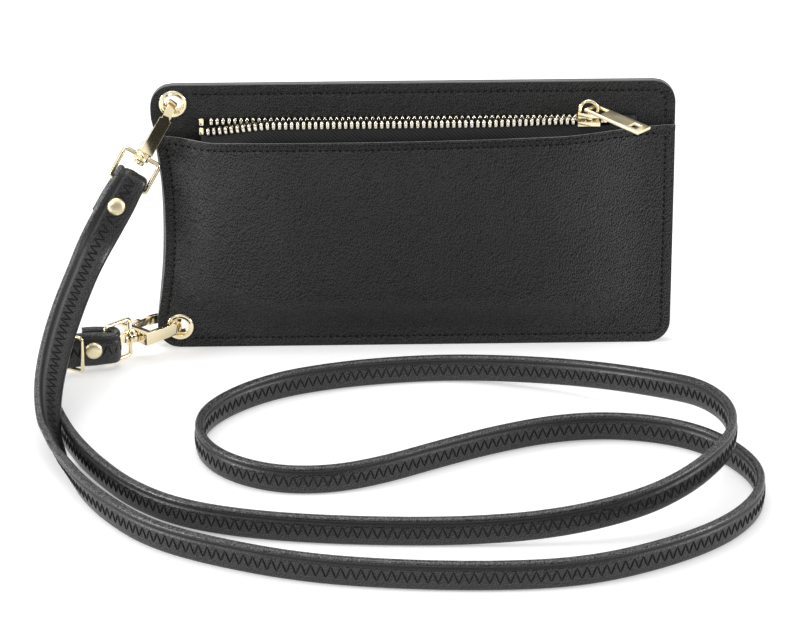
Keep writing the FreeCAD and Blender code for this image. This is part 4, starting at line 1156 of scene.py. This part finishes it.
def strap_form(line, acrosses, widths, open_start=False, open_end=False, start=0.0):
    form = Form()
    rows, uv_rows = strap_rows(line, acrosses, widths, start)
    base = form.sheet(rows, uv_rows, closed=True)
    width = len(rows[0])
    if not open_start:
        form.cap(base, width, turned=True)
    if not open_end:
        form.cap(base + (len(rows) - 1) * width, width)
    return form


def zigzag(line, acrosses, sizes):
    """Places of the zigzag's threads on both faces of a strap."""
    margin = 0.3
    lengths = runs_of(line)
    turns = (sizes.zigzag_top / MM, -sizes.zigzag_foot / MM)
    half = sizes.zigzag_pitch / MM / 2
    places = []
    index = 0
    count = int((lengths[-1] - 2 * margin) / half)
    corners = []
    for step in range(count + 1):
        run = margin + step * half
        while lengths[index + 1] < run:
            index += 1
        share = (run - lengths[index]) / (lengths[index + 1] - lengths[index])
        centre = Vector(line[index]).lerp(Vector(line[index + 1]), share)
        across = acrosses[index].lerp(acrosses[index + 1], share).normalized()
        side = tangent_at(line, index).cross(across).normalized()
        corners.append((centre + across * turns[step % 2], side))
    for (start, side), (end, next_side) in zip(corners, corners[1:]):
        out = (side + next_side).normalized()
        ahead = (end - start).normalized()
        for face in (out, -out):
            places.append(((start + end) / 2 + face * STRAP_FACE, ahead, face))
    length = sqrt(half ** 2 + (turns[0] - turns[1]) ** 2)
    return places, length


HookFrame = namedtuple("HookFrame", "centre ahead deep across")


def hook_frame(name):
    """A hook's nose centre and its directions along, deep and across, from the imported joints."""
    joints = {joint["name"]: joint for joint in frame["joints"]}
    swivel = joints[f"{name}_loop_swivel"]
    centre = Vector(swivel["pos_m"]) / MM
    ahead = Vector(swivel["axis"]).normalized()
    across = Vector(joints[f"{name}_gate_press"]["axis"]).normalized()
    return HookFrame(centre, ahead, across.cross(ahead), across)


class POUCH_OT_strap(PouchPiece, bpy.types.Operator):
    """Lays the long strap from the upper strap end to the lower one, with its zigzag seam"""
    bl_idname = "pouch.strap"
    bl_label = "Strap"

    def execute(self, context):
        scene = context.scene
        line = smooth_line(RISE + RUN[1:], 12)
        acrosses = self.turns(line)
        cut = self.neck_start(line)
        leather = strap_of(scene)
        main_line, main_across = line[:cut + 1], acrosses[:cut + 1]
        neck_line, neck_across = line[cut:], acrosses[cut:]
        main_runs = runs_of(main_line)
        neck_runs = runs_of(neck_line)
        main_length = main_runs[-1]
        main_wide = [RIVET_WIDTH + (END_WIDTH - RIVET_WIDTH) * ease(run / RIVET_TAPER)
                     + (1 - END_WIDTH) * ease((run - TAPER_START) / TAPER_LENGTH) for run in main_runs]
        neck_wide = [1 + (RIVET_WIDTH - 1) * ease(run / neck_runs[-1]) for run in neck_runs]
        main_form = strap_form(main_line, main_across, main_wide, True, True)
        neck_form = strap_form(neck_line, neck_across, neck_wide, True, True, main_length)
        main = main_form.piece("strap_main", leather)
        neck = neck_form.piece("strap_neck", leather)
        upper = (Vector((0, 0, RISE_FOOT)), Vector((0, 0, RISE[0][2] - 4.0)))
        lower = (Vector(neck_line[0]), Vector(neck_line[-1]))
        bend(main, "pouch", "upper_hook", *upper, "strap_leather", "strap_rise", "strap_run")
        bend(neck, "pouch", "lower_hook", *lower, "strap_leather")
        for name, piece_line, piece_across, hook, span in (
                ("main", main_line, main_across, "upper_hook", upper),
                ("neck", neck_line, neck_across, "lower_hook", lower)):
            places, length = zigzag(piece_line, piece_across, scene.pouch_strap)
            seam = sewn(f"strap_{name}_zigzag", places, zigzag_thread(), length * MM, ZIGZAG_THREAD)
            bend(seam, "pouch", hook, *span, "strap_leather")
        return {"FINISHED"}

    def turns(self, line):
        """The strap's width direction: across the upper hook at the top, upright on the floor."""
        start = -hook_frame("upper").across
        upright = Vector((0, 0, 1))
        first, last = TWIST_SHARES
        found = []
        for index, run in enumerate(runs_of(line)):
            twist = ease((run / RISE_LENGTH - first) / (last - first))
            tangent = tangent_at(line, index)
            turned = (start * (1 - twist) + upright * twist).normalized()
            found.append((turned - tangent * turned.dot(tangent)).normalized())
        return found

    def neck_start(self, line):
        run = 0.0
        for index in range(len(line) - 1, 0, -1):
            run += (Vector(line[index]) - Vector(line[index - 1])).length
            if run > NECK_LENGTH:
                return index - 1
        raise RuntimeError("the strap is shorter than its neck")


class POUCH_OT_strap_ends(PouchPiece, bpy.types.Operator):
    """Folds both strap ends round their loops and sets the rivets and the slide"""
    bl_idname = "pouch.strap_ends"
    bl_label = "Strap ends"

    def execute(self, context):
        scene = context.scene
        hook = hook_frame("upper")
        tip = hook.centre + hook.ahead * (LOOP_FAR - FOLD_PAST)
        self.fold(scene, "upper", tip, hook.ahead, hook.deep, -hook.across)
        hook = hook_frame("lower")
        turn = radians(LOWER_END_TURN)
        heading = Vector((-cos(turn), -sin(turn), 0))
        depth = Vector((-sin(turn), cos(turn), 0))
        tip = hook.centre + hook.ahead * LOOP_FAR - heading * FOLD_PAST
        self.fold(scene, "lower", tip, heading, depth, Vector((0, 0, 1)))
        self.slide(scene)
        return {"FINISHED"}

    def fold(self, scene, name, tip, heading, depth, across):
        front, back, rivet, span = FOLDS[name]
        profile = [(back, FOLD_HALF), ((back + 7) / 2, 2.45), (6.2, FOLD_HALF), (3.0, 2.75), (1.3, 1.7),
                   (1.3, -1.7), (3.0, -2.75), (6.2, -FOLD_HALF), ((front + 7) / 2, -2.45),
                   (front, -FOLD_HALF)]
        line = smooth_line([tip + heading * along + depth * deep for along, deep in profile], 10)
        acrosses = [across] * len(line)
        shares = [ease(((point - tip).dot(heading) - 3.0) / (rivet - 3.0)) for point in map(Vector, line)]
        widths = [LOOP_WIDTH + (RIVET_WIDTH - LOOP_WIDTH) * share for share in shares]
        strap = strap_form(line, acrosses, widths, open_end=True).piece(f"{name}_fold", strap_of(scene))
        places, length = zigzag(line, acrosses, scene.pouch_strap)
        hole = tip + heading * rivet
        along, wide = RIVET_ROOM
        kept = [place for place in places if abs((place[0] - hole).dot(heading)) > along or
                abs((place[0] - hole).dot(across)) > wide]
        seam = sewn(f"{name}_fold_zigzag", kept, zigzag_thread(), length * MM, ZIGZAG_THREAD)
        satin = satin_of(scene)
        head = turned_piece(f"{name}_rivet_dome", satin, RIVET_DOME, hole - depth * RIVET_SEAT, -depth, 40)
        foot = turned_piece(f"{name}_rivet_shank", satin, RIVET_SHANK, hole + depth * RIVET_SEAT, depth, 40)
        start = tip + heading * span[0] - depth * FOLD_HALF
        end = tip + heading * span[1] - depth * FOLD_HALF
        ends = (f"{name}_loop", f"{name}_hook", start, end)
        bend(strap, *ends, "strap_leather", f"{name}_strap_end")
        bend(seam, *ends, "strap_leather")
        bend(head, *ends, "gold_metal", f"{name}_rivet_cap")
        bend(foot, *ends, "gold_metal", f"{name}_rivet_post")

    def slide(self, scene):
        low, high = (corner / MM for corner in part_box("strap_slide"))
        centre = (low + high) / 2
        wire = 0.7
        turn = radians(-30)
        ahead = Vector((cos(turn), sin(turn), 0))
        side = 4.8
        rise = 6.0
        corner = 2.2
        half = [(0, -rise), (side - corner, -rise), (side, -rise), (side, corner - rise), (side, 0),
                (side, rise - corner), (side, rise), (side - corner, rise)]
        shape = half + [(-x, -z) for x, z in half] + half[:1]
        line = smooth_line([centre + ahead * x + Vector((0, 0, z)) for x, z in shape], 8)
        piece = wire_piece("strap_slide_wire", gold_of(scene), line[:-1] + line[:1], wire)
        bend(piece, "pouch", "lower_hook", Vector(RUN[-4]), Vector(RUN[-1]), "gold_metal", "strap_slide")


# Panels, zip and metal

class POUCH_OT_panels(PouchPiece, bpy.types.Operator):
    """Cuts, swells and sews the three panels and lays in the linings"""
    bl_idname = "pouch.panels"
    bl_label = "Panels"

    def execute(self, context):
        scene = context.scene
        leather = leather_of(scene)
        lining = lining_of()
        edge = edge_of(scene)
        sheets = (
            ("pocket_front", "front_panel", panel_form(front_face, NOTCH, hem_line, HEM, False),
             (leather, lining, hem_of(scene)), EYELETS[1:], 0.45),
            ("phone_back", "back_panel", panel_form(back_face, BACK_NOTCH, lambda x: HEIGHT, HEIGHT, True),
             (leather, lining, edge), EYELETS, 0.45),
            ("middle_wall", "middle_panel", panel_form(middle_face, NOTCH, lambda x: HEIGHT, HEIGHT, False),
             (leather, leather, edge), EYELETS, 0.4))
        for name, node, form, materials, heights, rim in sheets:
            panel = thick_panel(name, form, LEATHER, materials, heights, rim)
            dress(panel, "pouch", "panel_leather", node)
        outer = LINING_LEVEL + LINING
        for name, node, level, top, heights in (
                ("phone_cloth", "phone_lining", outer, HEIGHT, EYELETS),
                ("pocket_cloth", "pocket_lining", -outer, POCKET_LINING_TOP, EYELETS[1:])):
            form = panel_form(lambda x, z: level, NOTCH, lambda x: top, top, level > 0)
            cloth = thick_panel(name, form, LINING, (lining, lining, lining), heights, 0.1)
            dress(cloth, "pouch", "lining_fabric", node)
        self.seams(scene)
        return {"FINISHED"}

    def seams(self, scene):
        sizes = scene.pouch_leather
        pitch = sizes.stitch_pitch / MM
        length = sizes.stitch_length
        thick = sizes.thread
        inner = CORNER - SEWN_IN
        right = HALF_LENGTH - CORNER
        top = HEIGHT - CORNER
        right_x = HALF_LENGTH - SEWN_IN
        low_corner = [(right + inner * sin(t), CORNER - inner * cos(t)) for t in QUARTER]
        top_corner = [(right + inner * sin(t), top + inner * cos(t)) for t in QUARTER]
        left_corner = [(-right - inner * cos(t), top + inner * sin(t)) for t in QUARTER]
        lip = [(x, hem_line(x) - 1.0) for x in range(-66, 80, 3)]
        hem = [(x, hem_line(x) - HEM_SEAM) for x in range(-83, 85, 3)]
        front = sewn_edge(NOTCH, HEM - 3.5) + low_corner + [(right_x, hem_line(right_x) - 3.2)]
        middle = [(EYELET_X, HEIGHT - SEWN_IN)] + top_corner + [(right_x, hem_line(right_x) + 1.0)]
        back = (top_corner[::-1] + left_corner[::-1] + sewn_edge(BACK_NOTCH, top) + low_corner
                + [(right_x, top)])
        rows = (
            ("hem_stitches", front_face, edge_run(lip, 0.62 * pitch), -1, 0.12, 0.55 * length, 0.8 * thick),
            ("pocket_stitches", front_face, clear_run(front, pitch) + edge_run(hem, pitch), -1, STITCH_SINK,
             length, thick),
            ("middle_stitches", middle_face, clear_run(middle, pitch), -1, STITCH_SINK, length, thick),
            ("back_stitches", back_face, clear_run(back, pitch), 1, STITCH_SINK, length, thick))
        for name, face, places, side, sink, row_length, row_thick in rows:
            row = sewn(name, on_face(face, places, side, sink), thread_of(), row_length, row_thick)
            dress(row, "pouch", "panel_leather")


def row_place(x):
    """How far out and how high the open row stands."""
    left = 1 - ease((x - ZIP_START) / 24.0)
    right = 1 - ease((ZIP_END - x) / 32.0)
    out, rise = (left * first + right * second for first, second in zip(ROW_LEFT, ROW_RIGHT))
    return ROW_OUT - out, ROW - rise


def closing(piece):
    """Gives the piece a mesh of its own."""
    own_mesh(piece)


class POUCH_OT_zip(PouchPiece, bpy.types.Operator):
    """Weaves the zip's tapes and sets both rows of teeth"""
    bl_idname = "pouch.zip"
    bl_label = "Zip"

    def execute(self, context):
        scene = context.scene
        self.tapes(scene)
        self.teeth(scene)
        gold = gold_of(scene)
        for node, name in (("zip_top_stops", "top_stops"), ("zip_bottom_stop", "bottom_stop")):
            dress(machined(node, name, gold, 0.3), "pouch", "gold_metal", node)
        tab = machined("zip_end_tab", "end_tab", leather_of(scene), 0.35)
        dress(tab, "pouch", "zip_tape", "zip_end_tab")
        return {"FINISHED"}

    def tapes(self, scene):
        weave = tape_of(scene)
        form = Form()
        rows = []
        uv_rows = []
        shares = [step / 10 for step in range(11)]
        for step in range(97):
            x = ZIP_START - TAPE_PAST + (TAPE_END + TAPE_PAST - ZIP_START) * step / 96
            out, rise = row_place(x)
            past = ease((x - ZIP_END) / (TAPE_END - ZIP_END))
            out += (2.6 - out) * past
            rise -= 0.9 * ease((x - ZIP_END) / 3.0)
            seat = SEAM + pocket_lip(x) - TAPE_GAP
            foot = hem_line(x) - TAPE_TUCK
            row = []
            for share in shares:
                z = foot + (rise - foot) * share
                lean = ease((share - 0.3) / 0.7)
                bow = 0.25 * sin(pi * share) * lean
                row.append((x, -(seat + (out - seat) * lean + bow), z))
            rows.append(row)
            uv_rows.append([(x * MM, share * 0.009) for share in shares])
        form.sheet(rows, uv_rows, turned=True)
        front = form.piece("front_tape", weave)
        walled(front, TAPE)
        closing(dress(settled(front), "pouch", "zip_tape", "zip_tape_front"))
        form = Form()
        xs = [ZIP_START - TAPE_PAST + (TAPE_END - ZIP_START + TAPE_PAST) * step / 60 for step in range(61)]
        zs = [BACK_ROW - BACK_TAPE_HEIGHT + BACK_TAPE_HEIGHT * step / 8 for step in range(9)]
        rows = [[(x, BACK_TAPE_Y, z) for x in xs] for z in zs]
        uv_rows = [[(x * MM, z * MM) for x in xs] for z in zs]
        form.sheet(rows, uv_rows)
        back = form.piece("back_tape", weave)
        walled(back, TAPE)
        dress(settled(back), "pouch", "zip_tape", "zip_tape_back")

    def teeth(self, scene):
        sizes = scene.pouch_zip
        silver = finish_of("zip_teeth", polished_metal, sizes.teeth, 0.2)
        pitch = sizes.pitch / MM
        count = int((ZIP_END - ZIP_START) / pitch)
        tree = tree_of("tooth_row", tooth_nodes)
        front = []
        back = []
        for index in range(count):
            x = ZIP_START + pitch * (index + 0.5)
            out, rise = row_place(x)
            ahead_out, ahead_rise = row_place(x + 0.5)
            step = Vector((0.5, out - ahead_out, ahead_rise - rise)).normalized()
            up = Vector((0, 0, 1))
            square = (up - step * up.dot(step)).normalized()
            front.append((Vector((x, -out + 0.25, rise + TOOTH_RISE)), step, square))
            back.append((Vector((x + pitch / 2, BACK_TEETH_Y, BACK_ROW + TOOTH_RISE)), Vector((1, 0, 0)), up))
        rows = []
        for side, places in (("front", front), ("back", back)):
            row = grown(f"{side}_teeth", tree, places, silver, Thick=0.00108, Deep=0.0021, High=0.0023)
            rows.append(dress(row, "pouch", "gold_metal", f"zip_teeth_{side}"))
        closing(rows[0])


class POUCH_OT_zip_pull(PouchPiece, bpy.types.Operator):
    """Puts the slider, its bail and the pull on the zip"""
    bl_idname = "pouch.zip_pull"
    bl_label = "Zip pull"

    def execute(self, context):
        gold = gold_of(context.scene)
        satin = satin_of(context.scene)
        dress(machined("zip_slider", "slider_shell", gold, 0.28), "zip_slider", "gold_metal", "zip_slider")
        dress(machined("zip_pull", "pull_tag", satin, 0.22), "zip_pull", "gold_metal", "zip_pull")
        low, high = (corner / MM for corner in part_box("zip_bail"))
        centre = (low + high) / 2
        wire = 0.6
        radius = (high.x - low.x) / 2 - wire
        spring = high.z - wire - radius
        arch = [(centre.x - radius, centre.y, low.z - 0.2)]
        for step in range(25):
            turn = pi * step / 24
            arch.append((centre.x - radius * cos(turn), centre.y, spring + radius * sin(turn)))
        arch.append((centre.x + radius, centre.y, low.z - 0.2))
        dress(wire_piece("bail_arch", gold, arch, wire), "zip_slider", "gold_metal", "zip_bail")
        return {"FINISHED"}


# Profiles as radius and height: the flange, the roll past the back of the leather, the washer
EYELET_FLANGE = [(3.3, -0.05), (4.66, -0.02), (4.72, 0.16), (4.55, 0.40), (4.25, 0.46), (4.0, 0.36),
                 (3.8, 0.40), (3.5, 0.62), (3.2, 0.66), (3.02, 0.5), (2.96, 0.2)]
EYELET_ROLL = [(2.96, 0.3), (3.02, 0.75), (3.25, 0.95), (3.5, 0.85), (3.6, 0.52), (3.3, 0.48)]
WASHER = [(3.36, 0.0), (4.68, 0.0), (4.72, 0.15), (4.5, 0.42), (4.1, 0.5), (3.7, 0.42), (3.36, 0.3),
          (3.36, 0.0)]


class POUCH_OT_eyelets(PouchPiece, bpy.types.Operator):
    """Turns the eyelets and their washers"""
    bl_idname = "pouch.eyelets"
    bl_label = "Eyelets"

    def execute(self, context):
        gold = gold_of(context.scene)
        for name, z, front in (("upper", UPPER_EYELET_Z, LEATHER / 2), ("lower", LOWER_EYELET_Z, FACE)):
            through = front + FACE
            rolled = [(radius, -through - past) for radius, past in EYELET_ROLL]
            ring = EYELET_FLANGE + rolled + EYELET_FLANGE[:1]
            eyelet = turned_piece(f"{name}_eyelet_ring", gold, ring, (EYELET_X, -front, z), (0, -1, 0), 56)
            dress(eyelet, "pouch", "gold_metal", f"{name}_eyelet")
            washer = turned_piece(f"{name}_washer_disc", gold, WASHER, (EYELET_X, FACE, z), (0, 1, 0), 56)
            dress(washer, "pouch", "gold_metal", f"{name}_eyelet_washer")
        return {"FINISHED"}


COLLAR = ((1.15, 0.0), (2.3, 0.0), (2.6, 0.3), (2.6, 0.8), (2.42, 1.0), (2.42, 2.2), (2.6, 2.4), (2.6, 2.9),
          (2.3, 3.2), (1.15, 3.2), (1.15, 0.0))


class POUCH_OT_hooks(PouchPiece, bpy.types.Operator):
    """Finishes both swivel hooks with their gates and loops"""
    bl_idname = "pouch.hooks"
    bl_label = "Hooks"

    def execute(self, context):
        gold = gold_of(context.scene)
        for name in ("upper", "lower"):
            for node, label, body, width in ((f"{name}_hook", "hook_bar", "hook", 0.32),
                                             (f"{name}_gate_pin", "pin_head", "hook", 0.12),
                                             (f"{name}_swivel_stem", "stem", "hook", 0.25),
                                             (f"{name}_gate", "gate_bar", "gate", 0.28)):
                piece = machined(node, f"{name}_{label}", gold, width)
                dress(piece, f"{name}_{body}", "gold_metal", node)
            self.spring(name, gold)
            self.loop(name, gold)
        return {"FINISHED"}

    def spring(self, name, gold):
        """Makes the leaf from its solid and hides the solid."""
        hook = hook_frame(name)
        node = f"{name}_gate_spring"
        leaf = machined(node, f"{name}_spring_leaf", gold, 0.05)
        ends = LEAF_ROOT, LEAF_TIP
        root, tip = (hook.centre + hook.ahead * along + hook.deep * deep for along, deep in ends)
        bend(leaf, f"{name}_hook", f"{name}_gate", root, tip, "gold_metal", node)

    def loop(self, name, gold):
        hook = hook_frame(name)
        near, far, side, corner = LOOP_NEAR, LOOP_FAR, LOOP_SIDE, LOOP_CORNER
        inner = side - corner
        half = [(near, 1.4), (near, inner), (near, side), (near + corner, side), ((near + far) / 2, side),
                (far - corner, side), (far, side), (far, inner)]
        shape = half + [(far, 0)] + [(along, -wide) for along, wide in reversed(half)]
        line = [hook.centre + hook.ahead * along + hook.across * wide for along, wide in shape]
        form = Form()
        tube(form, smooth_line(line, 8), LOOP_WIRE)
        lathe(form, COLLAR, hook.centre + hook.ahead * (near - COLLAR_BACK), hook.ahead, 36)
        piece = straightened(form.piece(f"{name}_loop_wire", gold))
        dress(piece, f"{name}_loop", "gold_metal", f"{name}_swivel_loop")


class POUCH_PT_panel(bpy.types.Panel):
    """Lists the pouch's sizes and pieces"""
    bl_idname = "POUCH_PT_panel"
    bl_label = "Phone Pouch"
    bl_space_type = "VIEW_3D"
    bl_region_type = "UI"
    bl_category = "Pouch"

    def draw(self, context):
        layout = self.layout
        for label in GROUPS:
            group = getattr(context.scene, label)
            box = layout.box()
            for field in group.bl_rna.properties:
                if field.identifier not in {"rna_type", "name"}:
                    box.prop(group, field.identifier)
        for operator in OPERATORS:
            layout.operator(operator.bl_idname)


GROUPS = {"pouch_leather": PouchLeather, "pouch_strap": PouchStrap, "pouch_zip": PouchZip,
          "pouch_metal": PouchMetal, "pouch_stage": PouchStage}
OPERATORS = (POUCH_OT_stage, POUCH_OT_strap_ends, POUCH_OT_strap, POUCH_OT_panels, POUCH_OT_zip,
             POUCH_OT_zip_pull, POUCH_OT_eyelets, POUCH_OT_hooks)


def register():
    for group in GROUPS.values():
        bpy.utils.register_class(group)
    for label, group in GROUPS.items():
        setattr(bpy.types.Scene, label, PointerProperty(type=group))
    for operator in OPERATORS:
        bpy.utils.register_class(operator)
    bpy.utils.register_class(POUCH_PT_panel)


def unregister():
    bpy.utils.unregister_class(POUCH_PT_panel)
    for operator in reversed(OPERATORS):
        bpy.utils.unregister_class(operator)
    for label, group in GROUPS.items():
        delattr(bpy.types.Scene, label)
        bpy.utils.unregister_class(group)


def main():
    register()
    bpy.ops.pouch.stage()
    bpy.ops.pouch.strap_ends()
    bpy.ops.pouch.strap()
    bpy.ops.pouch.panels()
    bpy.ops.pouch.zip()
    bpy.ops.pouch.zip_pull()
    bpy.ops.pouch.eyelets()
    bpy.ops.pouch.hooks()


if __name__ == "__main__":
    main()
